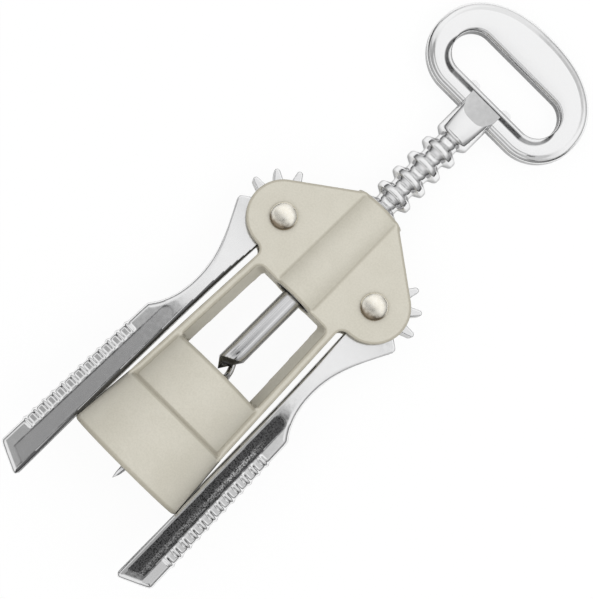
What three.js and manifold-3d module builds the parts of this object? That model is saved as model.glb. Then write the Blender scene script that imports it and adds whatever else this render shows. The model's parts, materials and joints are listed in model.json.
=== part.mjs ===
// Double-lever corkscrew, lying on its back as on a table.
//
// Each piece is drawn in the corkscrew's own frame: x across the levers, y along the spindle from the bell's
// rim (y = 0) towards the handle, z out of the front face. The whole is then tipped until the bell and the
// handle both touch the table. Sizes are in millimetres.

import * as THREE from 'three';
import * as BufferGeometryUtils from 'three/addons/utils/BufferGeometryUtils.js';
import { ConvexGeometry } from 'three/addons/geometries/ConvexGeometry.js';
import Module from 'manifold-3d';

const wasm = await Module();
wasm.setup();

// Clearances and cutting
const runningGap = 0.3;
const seatGap = 0.3;
const leverGap = 0.5;
const overrun = 2;

// Roundness of turned and curved faces
const bellFacets = 64;
const barrelFacets = 36;
const rackFacets = 28;
const smallFacets = 20;
const arcSteps = 5;
const domeSteps = 3;

// Bell: a flared skirt that sits on the bottle, under a straighter collar that takes the cork
const rimRadius = 18.1;
const rimRounding = 0.7;
const skirtHeight = 18.5;
const skirtTopRadius = 16.5;
const skirtBoreRim = 15.4;
const skirtBoreTop = 14.9;
const bellShoulderDrop = 1;
const collarHeight = 15.4;
const collarFootRadius = 15.4;
const collarTopRadius = 14.8;
const collarBore = 12.3;
const collarRounding = 0.4;

// Window between the two struts
const windowHeight = 27.3;
const strutOuterTop = 14.4;
const strutOuterFoot = 16.3;
const strutInnerTop = 10.1;
const strutInnerFoot = 11.1;
const strutDraft = 2.2;
const strutLand = 1.4;
const windowCorner = 1.6;
const cornerSteps = 3;

// Housing: two cheeks with a round lobe at each pivot, and a barrel between them
const cheekDepth = 5.4;
const cheekRounding = 0.45;
const lobeRadius = 9.7;
const lobeFillet = 2.1;
const barrelRise = 19.8;
const barrelTopRadius = 7.65;
const barrelFootRadius = 8;
const barrelRounding = 0.5;
const shoulderHalf = 5.9;

// Lever pivots
const pivotReach = 16.5;
const pivotRise = 12.9;
const rivetRadius = 1.9;
const rivetHeadRadius = 3.65;
const rivetHeadHeight = 1.7;
const rivetHeadEdge = 0.35;

// Rack of rings on the spindle
const rackPitch = 5.55;
const rackRadius = 5.3;
const rackRootRadius = 3.2;
const rackLand = 1.64;
const rackRootLand = 1.5;
const ringCountAbove = 8;
const ringCountBelow = 1;

// Rack tail, with the bore and cross pin that hold the worm
const tailRadius = 4.4;
const tailHeight = 2.8;
const tangRadius = 1.8;
const tangLength = 12;
const wormPinRadius = 0.9;

// Neck and handle, which is a flat oval ring with a slot for lifting bottle caps
const neckRadius = 5.1;
const neckHeight = 8.1;
const handleSlotHalfWidth = 17.7;
const handleSlotHalfHeight = 5.7;
const handleSideWidth = 6.7;
const handleTopWidth = 12;
const ovalFullnessShare = 2.25;
const handleEdgeDepth = 1.5;
const handleFaceDepth = 2.7;
const handleBevel = 1.8;
const handleSteps = 18;
const neckFootFullnessShare = 2.2;
const neckTopFullnessShare = 5;
const facetDrop = 6.6;
const facetProud = 0.15;
const capLugReach = 5.7;
const capLugHalfWidth = 1.5;
const capLugHeight = 1.1;
const capLugDepth = 0.9;

// Guide bush in the mouth of the barrel
const bushWall = 1;
const bushLength = 6;

// Toothed hub of each lever
const hubDepth = 2.8;
const hubRootRadius = 9.4;
const toothTipRadius = 12.9;
const toothBaseHalf = 1.4;
const toothTipHalf = 0.8;
const toothCorner = 0.45;
const teethOverTop = 6;
const teethBelow = 1;
const shoulderRadius = 13.1;
const shoulderAngle = -17.3;
const shoulderStartAngle = -11;

// Arm and grip of each lever, with u outward and v up from the pivot
const leverLength = 94.9;
const armTopInner = -0.5;
const waistDrop = 27;
const waistOuter = 4.7;
const waistInner = 0.3;
const gripTop = 40;
const gripOuterTop = 9;
const gripOuterEnd = 10.4;
const gripInnerTop = 1.3;
const gripInnerEnd = 2;
const gripDepth = 4.6;
const gripRounding = 0.6;
const gripEndSlant = 4.2;
const gripCorner = 1.2;
const armDepthStart = 12.5;
const armDepthFull = 36;
const shoulderSweepShares = [0.55, 0.35];
const waistEaseShare = 0.63;
const gripSweepShares = [0.45, 0.8];

// Panel sunk in the face of the grip, and the ribs along its outer border
const panelBorder = 3.4;
const panelRail = 1.8;
const panelDepth = 0.6;
const panelTop = 36.8;
const panelEndMargin = 2;
const ribCount = 12;
const ribPitch = 3.18;
const ribWidth = 1.15;
const ribProud = 0.35;
const ribStart = 48.2;
const ribBevel = 0.3;

// Worm: a solid shank that runs out into an open right-handed coil
const shankRadius = 2.9;
const coilRadius = 2.4;
const coilPitch = 8.8;
const wireHalfHeight = 1.1;
const wireHalfWidth = 0.85;
const wormReach = 4.2;
const shankEndRise = 6.4;
const shankEndSlant = 2.9;
const shankPointDrop = 4.3;
const shankPointSide = 0.8;
const coilStartRise = 1.2;
const coilTaper = 13;
const coilStepsPerTurn = 16;
const wireSides = 8;
const coilPhase = -23;
const tipRadiusShare = 0.2;
const tipWireShare = 0.12;

// Places worked out from the sizes above
const bellHeight = skirtHeight + collarHeight;
const housingFoot = bellHeight + windowHeight;
const pivotHeight = housingFoot + pivotRise;
const barrelTop = pivotHeight + barrelRise;
const rackTop = pivotHeight + ringCountAbove * rackPitch - rackPitch / 2;
const neckFoot = rackTop + rackPitch - rackLand / 2;
const handleFoot = neckFoot + neckHeight;
const handleSlotStraight = handleSlotHalfWidth - handleSlotHalfHeight;
const handleHalfWidth = handleSlotHalfWidth + handleSideWidth;
const handleRise = handleSlotHalfHeight + handleTopWidth;
const handleDrop = handleSlotHalfHeight + handleSideWidth;
const slotCentre = handleFoot + handleDrop;
const neckTop = slotCentre - handleSlotHalfHeight - handleBevel;
const tailTop = pivotHeight - ringCountBelow * rackPitch - rackPitch / 2 + rackLand / 2;
const tailFoot = tailTop - tailHeight;
const slotDepth = hubDepth + runningGap;
const toothAngle = rackPitch / (pivotReach - rackRadius) * THREE.MathUtils.RAD2DEG;

const radians = THREE.MathUtils.degToRad;
const lerp = THREE.MathUtils.lerp;
const polar = (radius, angle) => [radius * Math.cos(radians(angle)), radius * Math.sin(radians(angle))];

// Solids

function solidOf(geometry) {
  const bare = geometry.clone();
  bare.deleteAttribute('normal');
  bare.deleteAttribute('uv');
  const merged = BufferGeometryUtils.mergeVertices(bare);
  const index = merged.index.array;
  const kept = [];
  for (let i = 0; i < index.length; i += 3) {
    const [a, b, c] = [index[i], index[i + 1], index[i + 2]];
    if (a !== b && b !== c && c !== a) kept.push(a, b, c);
  }
  return new wasm.Manifold(new wasm.Mesh({
    numProp: 3,
    vertProperties: new Float32Array(merged.attributes.position.array),
    triVerts: new Uint32Array(kept),
  }));
}

function joined(...solids) {
  return solids.reduce((whole, solid) => whole.add(solid));
}

function cut(solid, ...tools) {
  return tools.reduce((rest, tool) => rest.subtract(tool), solid);
}

function piece(name, solid, finish) {
  const made = solid.getMesh();
  const geometry = new THREE.BufferGeometry();
  geometry.setAttribute('position', new THREE.BufferAttribute(new Float32Array(made.vertProperties), 3));
  geometry.setIndex(new THREE.BufferAttribute(new Uint32Array(made.triVerts), 1));
  geometry.computeVertexNormals();
  const mesh = new THREE.Mesh(geometry, finish);
  mesh.name = name;
  return mesh;
}

// A flat outline given depth to both sides of z = 0, with its edges eased by the rounding
function slab(shape, halfDepth, rounding = 0, roundingDepth = rounding, steps = 1) {
  const geometry = new THREE.ExtrudeGeometry(shape, {
    depth: 2 * (halfDepth - roundingDepth),
    bevelEnabled: rounding > 0,
    bevelThickness: roundingDepth,
    bevelSize: rounding,
    bevelOffset: -rounding,
    bevelSegments: steps,
    curveSegments: arcSteps * 2,
  });
  return geometry.translate(0, 0, roundingDepth - halfDepth);
}

function outline(points) {
  return new THREE.Shape(points.map(([x, y]) => new THREE.Vector2(x, y)));
}

// A profile of [radius, height] turned about the spindle's axis, with flats at the front and the back
function turned(profile, facets) {
  const points = profile.map(([radius, height]) => new THREE.Vector2(radius, height));
  if (THREE.ShapeUtils.area(points) < 0) points.reverse();
  points.push(points[0].clone());
  return solidOf(new THREE.LatheGeometry(points, facets, Math.PI / facets));
}

// A round bar along z through a point
function crossBar(radius, halfDepth, x, y, facets = smallFacets) {
  const bar = new THREE.CylinderGeometry(radius, radius, 2 * halfDepth, facets);
  return solidOf(bar.rotateX(Math.PI / 2).translate(x, y, 0));
}

function hull(points) {
  return solidOf(new ConvexGeometry(points.map(([x, y, z]) => new THREE.Vector3(x, y, z))));
}

// A body through closed rings of points, with both ends closed
function loft(rings) {
  const sides = rings[0].length;
  const positions = rings.flat().flatMap((point) => point.toArray());
  const centre = (ring) => ring.reduce((sum, point) => sum.add(point), new THREE.Vector3()).divideScalar(sides);
  const faces = [];
  for (let r = 0; r < rings.length - 1; r++) {
    for (let s = 0; s < sides; s++) {
      const [a, b] = [r * sides + s, r * sides + (s + 1) % sides];
      faces.push(a, b, b + sides, a, b + sides, a + sides);
    }
  }
  const first = positions.length / 3;
  const last = first + 1;
  const lastRing = (rings.length - 1) * sides;
  positions.push(...centre(rings[0]).toArray(), ...centre(rings[rings.length - 1]).toArray());
  for (let s = 0; s < sides; s++) {
    const next = (s + 1) % sides;
    faces.push(first, next, s, last, lastRing + s, lastRing + next);
  }
  const geometry = new THREE.BufferGeometry();
  geometry.setAttribute('position', new THREE.BufferAttribute(new Float32Array(positions), 3));
  geometry.setIndex(faces);
  return solidOf(geometry);
}

// Frame casting

function bellOuter() {
  return turned([
    [0, 0],
    [rimRadius - rimRounding, 0],
    [rimRadius, rimRounding],
    [skirtTopRadius, skirtHeight],
    [collarFootRadius, skirtHeight],
    [collarTopRadius, bellHeight - collarRounding],
    [collarTopRadius - collarRounding, bellHeight],
    [0, bellHeight],
  ], bellFacets);
}

function bellBore() {
  return turned([
    [0, -overrun],
    [skirtBoreRim, -overrun],
    [skirtBoreRim, 0],
    [skirtBoreTop, skirtHeight - bellShoulderDrop],
    [collarBore, skirtHeight - bellShoulderDrop],
    [collarBore, bellHeight],
    [0, bellHeight],
  ], bellFacets);
}

// Half of the outline of the cheeks and struts, from the foot of a strut up to the barrel
function cheekHalf() {
  const reach = Math.hypot(pivotReach - shoulderHalf, barrelRise);
  const slope = Math.atan2(barrelRise, shoulderHalf - pivotReach) - Math.acos(lobeRadius / reach);
  const filletX = strutOuterTop + lobeFillet;
  const filletDrop = Math.sqrt((lobeRadius + lobeFillet) ** 2 - (pivotReach - filletX) ** 2);
  const lobeEnd = -Math.PI / 2;
  const points = [
    [strutOuterFoot, skirtHeight - bellShoulderDrop],
    [strutOuterFoot, skirtHeight],
  ];
  for (let i = 0; i <= arcSteps; i++) {
    const angle = Math.PI - (i / arcSteps) * (Math.PI / 2);
    const [dx, dy] = [lobeFillet * Math.cos(angle), lobeFillet * Math.sin(angle)];
    points.push([filletX + dx, pivotHeight - filletDrop + dy]);
  }
  for (let i = 1; i <= 4 * arcSteps; i++) {
    const angle = lerp(lobeEnd, slope, i / (4 * arcSteps));
    points.push([pivotReach + lobeRadius * Math.cos(angle), pivotHeight + lobeRadius * Math.sin(angle)]);
  }
  points.push([shoulderHalf, barrelTop]);
  return points;
}

function cheeks() {
  const half = cheekHalf();
  const mirrored = half.map(([x, y]) => [-x, y]).reverse();
  return solidOf(slab(outline([...half, ...mirrored]), cheekDepth, cheekRounding));
}

function barrel() {
  return turned([
    [0, housingFoot],
    [barrelFootRadius, housingFoot],
    [barrelTopRadius, barrelTop - barrelRounding],
    [barrelTopRadius - barrelRounding, barrelTop],
    [0, barrelTop],
  ], barrelFacets);
}

// The window is narrowest on the land at mid-depth and opens towards the front and the back
function windowCuts() {
  const level = (depth, draft) => {
    const half = [[strutInnerFoot + draft, bellHeight]];
    for (let i = 0; i <= cornerSteps; i++) {
      const [across, up] = polar(windowCorner, 90 * i / cornerSteps);
      half.push([strutInnerTop + draft - windowCorner + across, housingFoot - windowCorner + up]);
    }
    return half.flatMap(([x, y]) => [[x, y, depth], [-x, y, depth]]);
  };
  const outerDepth = cheekDepth + overrun;
  const outerDraft = strutDraft * (outerDepth - strutLand) / (cheekDepth - strutLand);
  return [
    hull([...level(-strutLand, 0), ...level(strutLand, 0)]),
    hull([...level(0, 0), ...level(strutLand, 0), ...level(outerDepth, outerDraft)]),
    hull([...level(0, 0), ...level(-strutLand, 0), ...level(-outerDepth, outerDraft)]),
  ];
}

function spindleBore() {
  const bore = rackRadius + runningGap;
  const seat = bore + bushWall + seatGap;
  const seatFloor = barrelTop - bushLength - seatGap;
  return turned([
    [0, housingFoot - overrun],
    [bore, housingFoot - overrun],
    [bore, seatFloor],
    [seat, seatFloor],
    [seat, barrelTop + overrun],
    [0, barrelTop + overrun],
  ], barrelFacets);
}

function frame(finish) {
  const body = joined(bellOuter(), cheeks(), barrel());
  const cuts = [...windowCuts(), bellBore(), spindleBore()];
  for (const side of [-1, 1]) {
    const x = side * pivotReach;
    cuts.push(crossBar(shoulderRadius + seatGap, slotDepth, x, pivotHeight, bellFacets));
    cuts.push(crossBar(rivetRadius + seatGap, cheekDepth + overrun, x, pivotHeight));
  }
  return piece('frame', cut(body, ...cuts), finish);
}

// Pivot rivets: a plain shank with a domed head at each end

function rivet(name, side, finish) {
  const seat = cheekDepth + seatGap;
  const dome = [];
  for (let i = 0; i <= domeSteps; i++) {
    const angle = (i / domeSteps) * (Math.PI / 2);
    const height = seat + rivetHeadEdge + (rivetHeadHeight - rivetHeadEdge) * Math.sin(angle);
    dome.push([rivetHeadRadius * Math.cos(angle), height]);
  }
  dome[domeSteps][0] = 0;
  const upper = [[rivetRadius, 0], [rivetRadius, seat], [rivetHeadRadius, seat], ...dome];
  const lower = upper.slice(1).map(([radius, height]) => [radius, -height]).reverse();
  const points = [...lower, ...upper].map(([radius, height]) => new THREE.Vector2(radius, height));
  const geometry = new THREE.LatheGeometry(points, smallFacets);
  geometry.rotateX(Math.PI / 2).translate(side * pivotReach, pivotHeight, 0);
  return piece(name, solidOf(geometry), finish);
}

// Guide bush, a plain ring in the mouth of the barrel that steadies the rack

function guideBush(finish) {
  const bore = rackRadius + runningGap;
  const foot = barrelTop - bushLength;
  return piece('guide_bush', turned([
    [bore, foot],
    [bore + bushWall, foot],
    [bore + bushWall, barrelTop],
    [bore, barrelTop],
  ], barrelFacets), finish);
}

// Spindle casting: rack of rings, neck and handle

function rackProfile() {
  const flank = (rackPitch - rackLand - rackRootLand) / 2;
  const points = [
    [0, tailFoot],
    [tailRadius, tailFoot],
    [tailRadius, tailTop - flank / 2],
    [rackRootRadius, tailTop + flank / 2],
  ];
  const ringCount = ringCountAbove + ringCountBelow;
  for (let i = 0; i < ringCount; i++) {
    const centre = rackTop - (ringCount - 1 - i) * rackPitch;
    points.push(
      [rackRootRadius, centre - rackLand / 2 - flank],
      [rackRadius, centre - rackLand / 2],
      [rackRadius, centre + rackLand / 2],
      [rackRootRadius, centre + rackLand / 2 + flank],
    );
  }
  points.push([rackRootRadius, neckFoot - flank], [neckRadius, neckFoot], [0, neckFoot]);
  return points;
}

// A point of a superellipse, which is round at a fullness of 2 and nearly square at 5
function fullPoint(angle, halfWidth, halfHeight, fullnessShare) {
  const full = (part) => Math.sign(part) * Math.abs(part) ** (2 / fullnessShare);
  const [c, s] = polar(1, angle);
  return [halfWidth * full(c), halfHeight * full(s)];
}

// Above the slot the handle is a full oval, and below it runs round the slot at one width
function ovalPoint(angle) {
  if (angle < 180) {
    const [x, y] = fullPoint(angle, handleHalfWidth, handleRise, ovalFullnessShare);
    return [x, slotCentre + y];
  }
  const [x, y] = polar(handleDrop, angle);
  return [x + Math.sign(x) * handleSlotStraight, slotCentre + y];
}

function handleRing() {
  const steps = 4 * handleSteps;
  const oval = [];
  for (let i = 0; i < steps; i++) oval.push(ovalPoint((2 * i + 1) / steps * 180));
  const shape = outline(oval);
  const slot = new THREE.Path();
  slot.moveTo(-handleSlotStraight, slotCentre - handleSlotHalfHeight);
  slot.absarc(handleSlotStraight, slotCentre, handleSlotHalfHeight, -Math.PI / 2, Math.PI / 2, false);
  slot.absarc(-handleSlotStraight, slotCentre, handleSlotHalfHeight, Math.PI / 2, 3 * Math.PI / 2, false);
  shape.holes.push(slot);
  return solidOf(slab(shape, handleFaceDepth, handleBevel, handleFaceDepth - handleEdgeDepth, 2));
}

// Lug on the lower edge of the slot that catches the cap
function capLug(side) {
  const foot = slotCentre - handleSlotHalfHeight - capLugHeight;
  const top = slotCentre - handleSlotHalfHeight + capLugHeight;
  const x = side * capLugReach;
  return solidOf(slab(outline([
    [x - capLugHalfWidth, foot],
    [x + capLugHalfWidth, foot],
    [x + capLugHalfWidth, top - capLugHeight / 2],
    [x + capLugHalfWidth / 2, top],
    [x - capLugHalfWidth / 2, top],
    [x - capLugHalfWidth, top - capLugHeight / 2],
  ]), capLugDepth));
}

// The neck is round at its foot and nearly square where it meets the ring
function neck() {
  const levels = [[neckTop, neckTopFullnessShare], [neckFoot, neckFootFullnessShare]];
  return loft(levels.map(([height, fullnessShare]) => {
    const ring = [];
    for (let i = 0; i < rackFacets; i++) {
      const [x, z] = fullPoint((2 * i + 1) / rackFacets * 180, neckRadius, neckRadius, fullnessShare);
      ring.push(new THREE.Vector3(x, height, z));
    }
    return ring;
  }));
}

// The neck is planed off to a slanted flat at the front and the back, down to the face of the ring
function neckPlane(side) {
  const face = handleFaceDepth + facetProud;
  const slope = (neckRadius - face) / facetDrop;
  const across = neckRadius + overrun;
  const wedge = (x) => [
    [x, neckTop - facetDrop - overrun, side * (neckRadius + slope * overrun)],
    [x, neckTop, side * face],
    [x, neckTop + overrun, side * face],
    [x, neckTop + overrun, side * (neckRadius + overrun)],
    [x, neckTop - facetDrop - overrun, side * (neckRadius + overrun)],
  ];
  return hull([...wedge(-across), ...wedge(across)]);
}

function handleRack(finish) {
  const tangBore = turned([
    [0, tailFoot - overrun],
    [tangRadius + seatGap, tailFoot - overrun],
    [tangRadius + seatGap, tailFoot + tangLength + seatGap],
    [0, tailFoot + tangLength + seatGap],
  ], smallFacets);
  const pinHole = crossBar(wormPinRadius + seatGap, tailRadius + overrun, 0, pinHeight());
  const rack = turned(rackProfile(), rackFacets);
  const planed = cut(neck(), neckPlane(-1), neckPlane(1));
  const whole = joined(rack, planed, handleRing(), capLug(-1), capLug(1));
  return piece('handle_rack', cut(whole, tangBore, pinHole), finish);
}

// Worm and the pin that holds it

const pinHeight = () => tailFoot + tailHeight / 2;

function wormPin(finish) {
  const halfLength = Math.sqrt(tailRadius ** 2 - (wormPinRadius + seatGap) ** 2) - seatGap;
  return piece('worm_pin', crossBar(wormPinRadius, halfLength, 0, pinHeight(), smallFacets / 2), finish);
}

// The shank ends in a slanted shoulder with a point that leans to one side
function shankEnd() {
  const foot = bellHeight + shankEndRise - shankEndSlant;
  const points = [[-shankPointSide, foot - shankPointDrop + shankEndSlant / 2, shankPointSide]];
  for (let i = 0; i < smallFacets; i++) {
    const angle = (i + 0.5) / smallFacets * 2 * Math.PI;
    const [x, z] = [shankRadius * Math.cos(angle), shankRadius * Math.sin(angle)];
    points.push([x, foot + shankEndSlant * (1 + x / shankRadius) / 2, z]);
    points.push([x, foot + shankEndSlant + shankRadius, z]);
  }
  return hull(points);
}

function coilCentre(height) {
  const start = bellHeight + coilStartRise;
  const tip = -wormReach;
  const out = THREE.MathUtils.smoothstep(-height, -(start + shankEndRise), -start);
  const taper = Math.min(1, (height - tip) / coilTaper);
  const turn = Math.max(0, start - height) / coilPitch;
  const radius = coilRadius * out * lerp(tipRadiusShare, 1, Math.sin(taper * Math.PI / 2));
  const angle = radians(coilPhase) + turn * 2 * Math.PI;
  return new THREE.Vector3(radius * Math.cos(angle), height, radius * Math.sin(angle));
}

function coil() {
  const top = bellHeight + coilStartRise + shankEndRise;
  const tip = -wormReach;
  const steps = Math.ceil((top - tip) / coilPitch * coilStepsPerTurn);
  const rings = [];
  for (let i = 0; i <= steps; i++) {
    const height = lerp(top, tip, i / steps);
    const centre = coilCentre(height);
    const ahead = coilCentre(height - coilPitch / coilStepsPerTurn / 2);
    const behind = coilCentre(height + coilPitch / coilStepsPerTurn / 2);
    const along = ahead.sub(behind).normalize();
    const outward = new THREE.Vector3(centre.x, 0, centre.z).normalize();
    const sideways = new THREE.Vector3().crossVectors(along, outward).normalize();
    const across = new THREE.Vector3().crossVectors(sideways, along);
    const taper = Math.min(1, (height - tip) / coilTaper);
    const size = lerp(tipWireShare, 1, Math.sin(taper * Math.PI / 2));
    const ring = [];
    for (let s = 0; s < wireSides; s++) {
      const angle = (s / wireSides) * 2 * Math.PI;
      ring.push(centre.clone()
        .addScaledVector(across, size * wireHalfWidth * Math.cos(angle))
        .addScaledVector(sideways, size * wireHalfHeight * Math.sin(angle)));
    }
    rings.push(ring);
  }
  return loft(rings);
}

function worm(finish) {
  const shoulder = tailFoot - seatGap;
  const shank = turned([
    [0, bellHeight + shankEndRise + shankRadius / 2],
    [shankRadius, bellHeight + shankEndRise + shankRadius / 2],
    [shankRadius, shoulder],
    [tangRadius, shoulder],
    [tangRadius, tailFoot + tangLength],
    [0, tailFoot + tangLength],
  ], smallFacets);
  const pinHole = crossBar(wormPinRadius + seatGap / 2, tailRadius, 0, pinHeight());
  return piece('worm', cut(joined(shank, shankEnd(), coil()), pinHole), finish);
}

// Levers

function tooth(angle) {
  const corners = [
    [hubRootRadius, toothBaseHalf],
    [toothTipRadius - toothCorner, toothTipHalf],
    [toothTipRadius, toothTipHalf - toothCorner],
    [toothTipRadius, toothCorner - toothTipHalf],
    [toothTipRadius - toothCorner, -toothTipHalf],
    [hubRootRadius, -toothBaseHalf],
  ];
  const [c, s] = polar(1, angle);
  return corners.map(([along, aside]) => [along * c - aside * s, along * s + aside * c]);
}

// Outline of a lever about its pivot, clockwise from the shoulder round the grip and back over the teeth
function leverOutline() {
  const shape = new THREE.Shape();
  const [shoulderU, shoulderV] = polar(shoulderRadius, shoulderAngle);
  const cornerV = -gripTop;
  const endV = -(leverLength - gripEndSlant);
  shape.moveTo(...polar(hubRootRadius, shoulderStartAngle));
  shape.lineTo(shoulderU, shoulderV);
  shape.bezierCurveTo(
    lerp(shoulderU, waistOuter, shoulderSweepShares[0]), lerp(shoulderV, -waistDrop, shoulderSweepShares[1]),
    waistOuter, lerp(shoulderV, -waistDrop, waistEaseShare),
    waistOuter, -waistDrop,
  );
  shape.bezierCurveTo(
    waistOuter, lerp(-waistDrop, cornerV, 1 / 2),
    lerp(waistOuter, gripOuterTop, gripSweepShares[0]), lerp(-waistDrop, cornerV, gripSweepShares[1]),
    gripOuterTop - gripCorner / 4, cornerV,
  );
  shape.quadraticCurveTo(gripOuterTop, cornerV - gripCorner / 4, gripOuterTop, cornerV - gripCorner);
  shape.lineTo(gripOuterEnd, endV);
  shape.quadraticCurveTo(gripOuterEnd, endV - gripCorner / 2, gripOuterEnd - gripCorner, endV - gripCorner);
  shape.lineTo(gripInnerEnd + gripCorner, -leverLength);
  shape.quadraticCurveTo(gripInnerEnd, -leverLength, gripInnerEnd, gripCorner - leverLength);
  shape.lineTo(gripInnerTop, cornerV);
  const armTop = Math.atan2(-hubRootRadius, armTopInner);
  const firstTooth = radians(180 + teethBelow * toothAngle) + toothBaseHalf / hubRootRadius;
  shape.quadraticCurveTo(waistInner, -waistDrop, hubRootRadius * Math.cos(armTop), hubRootRadius * Math.sin(armTop));
  shape.absarc(0, 0, hubRootRadius, armTop, firstTooth, true);
  for (let k = -teethBelow; k <= teethOverTop; k++) {
    for (const [u, v] of tooth(180 - k * toothAngle)) shape.lineTo(u, v);
  }
  return shape;
}

// Side view of a lever: thin at the hub, full at the grip
function leverSide() {
  const shape = outline([
    [hubDepth, toothTipRadius + overrun],
    [hubDepth, -armDepthStart],
    [gripDepth, -armDepthFull],
    [gripDepth, -leverLength - overrun],
    [-gripDepth, -leverLength - overrun],
    [-gripDepth, -armDepthFull],
    [-hubDepth, -armDepthStart],
    [-hubDepth, toothTipRadius + overrun],
  ]);
  return slab(shape, shoulderRadius + overrun).rotateY(Math.PI / 2);
}

const gripOuterAt = (drop) => lerp(gripOuterTop, gripOuterEnd,
  (drop - gripTop) / (leverLength - gripEndSlant - gripTop));
const gripInnerAt = (drop) => lerp(gripInnerTop, gripInnerEnd, (drop - gripTop) / (leverLength - gripTop));

// The sunk panel lies between the ribbed border and a narrow rail, with a round top
function panel(side) {
  const foot = leverLength - gripEndSlant - panelEndMargin / 2;
  const tipFoot = leverLength - panelEndMargin;
  const left = (drop) => gripInnerAt(drop) + panelRail;
  const right = (drop) => gripOuterAt(drop) - panelBorder;
  const middle = (left(gripTop) + right(gripTop)) / 2;
  const shape = new THREE.Shape();
  shape.moveTo(left(gripTop), -gripTop);
  shape.quadraticCurveTo(left(panelTop), -panelTop, middle, -panelTop);
  shape.quadraticCurveTo(right(panelTop), -panelTop, right(gripTop), -gripTop);
  shape.lineTo(right(foot), -foot);
  shape.lineTo(left(tipFoot), -tipFoot);
  const floor = gripDepth - panelDepth;
  return slab(shape, overrun / 2 + panelDepth / 2).translate(0, 0, side * (floor + overrun / 2 + panelDepth / 2));
}

// One rib: a thin band over the front, the outer edge and the back of the grip
function rib(index) {
  const drop = ribStart + index * ribPitch;
  const inner = gripOuterAt(drop) - panelBorder;
  const outer = gripOuterAt(drop) + ribProud;
  const depth = gripDepth + ribProud;
  const shape = outline([
    [inner, -depth],
    [outer - gripRounding, -depth],
    [outer, gripRounding - depth],
    [outer, depth - gripRounding],
    [outer - gripRounding, depth],
    [inner, depth],
  ]);
  return slab(shape, ribWidth / 2, ribBevel).rotateX(-Math.PI / 2).translate(0, -drop, 0);
}

// Room for the bell's skirt beside the grips
function skirtRelief() {
  const top = skirtHeight + overrun;
  return turned([
    [0, -leverLength],
    [rimRadius + leverGap, -leverLength],
    [rimRadius + leverGap, rimRounding],
    [skirtTopRadius + leverGap, skirtHeight],
    [skirtTopRadius + leverGap, top],
    [0, top],
  ], bellFacets);
}

function lever(name, side, finish) {
  const place = (geometry) => {
    const placed = (geometry.index ? geometry.toNonIndexed() : geometry.clone()).scale(side, 1, 1);
    if (side < 0) {
      const p = placed.attributes.position;
      for (let i = 0; i < p.count; i += 3) {
        const [x, y, z] = [p.getX(i), p.getY(i), p.getZ(i)];
        p.setXYZ(i, p.getX(i + 1), p.getY(i + 1), p.getZ(i + 1));
        p.setXYZ(i + 1, x, y, z);
      }
    }
    return solidOf(placed.translate(side * pivotReach, pivotHeight, 0));
  };
  const blank = place(slab(leverOutline(), gripDepth, gripRounding)).intersect(place(leverSide()));
  const panelled = cut(blank, place(panel(-1)), place(panel(1)));
  let ribbed = panelled;
  for (let i = 0; i < ribCount; i++) ribbed = ribbed.add(place(rib(i)));
  const pivotHole = crossBar(rivetRadius + runningGap, gripDepth + overrun, side * pivotReach, pivotHeight);
  return piece(name, cut(ribbed, pivotHole, skirtRelief()), finish);
}

// Finishes

const finish = (color, roughness, metalness) => new THREE.MeshStandardMaterial({ color, roughness, metalness });
const paint = finish(0xc6beae, 0.45, 0.1);
const chrome = finish(0xd9dadc, 0.12, 1);
const nickel = finish(0xcfc8ba, 0.25, 1);
const steel = finish(0xb9bbbd, 0.2, 1);

// Assembly

const corkscrew = new THREE.Group();
const bell = frame(paint);
const handle = handleRack(chrome);
corkscrew.add(
  bell,
  guideBush(steel),
  rivet('rivet_left', -1, nickel),
  rivet('rivet_right', 1, nickel),
  lever('lever_left', -1, chrome),
  lever('lever_right', 1, chrome),
  handle,
  worm(steel),
  wormPin(steel),
);

// Lowest level of a piece when the corkscrew is tipped back by an angle
function lowest(mesh, tilt) {
  const p = mesh.geometry.attributes.position;
  let low = Infinity;
  for (let i = 0; i < p.count; i++) {
    low = Math.min(low, p.getZ(i) * Math.cos(tilt) - p.getY(i) * Math.sin(tilt));
  }
  return low;
}

// The tilt at which the bell and the handle lie equally low is found by halving
function restingTilt() {
  let [flat, steep] = [0, Math.PI / 4];
  for (let i = 0; i < 40; i++) {
    const middle = (flat + steep) / 2;
    if (lowest(handle, middle) > lowest(bell, middle)) flat = middle;
    else steep = middle;
  }
  return (flat + steep) / 2;
}

const tilt = restingTilt();
corkscrew.rotation.x = -tilt;

const part = new THREE.Group();
part.add(corkscrew);
part.updateMatrixWorld(true);
const box = new THREE.Box3().setFromObject(part, true);
corkscrew.position.set(-(box.min.x + box.max.x) / 2, -(box.min.y + box.max.y) / 2, -box.min.z);

export default part;
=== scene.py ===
# Looks of a double-lever corkscrew that lies on its back on a white table.
#
# Each piece is shaped in the corkscrew's own frame, in millimetres and degrees: x across the levers, y along
# the spindle from the bell's rim towards the handle, z out of the front face. It is then laid where the
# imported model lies.

import json
import math

import bmesh
import bpy
import numpy as np
from mathutils import Matrix, Vector
from mathutils.kdtree import KDTree


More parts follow.
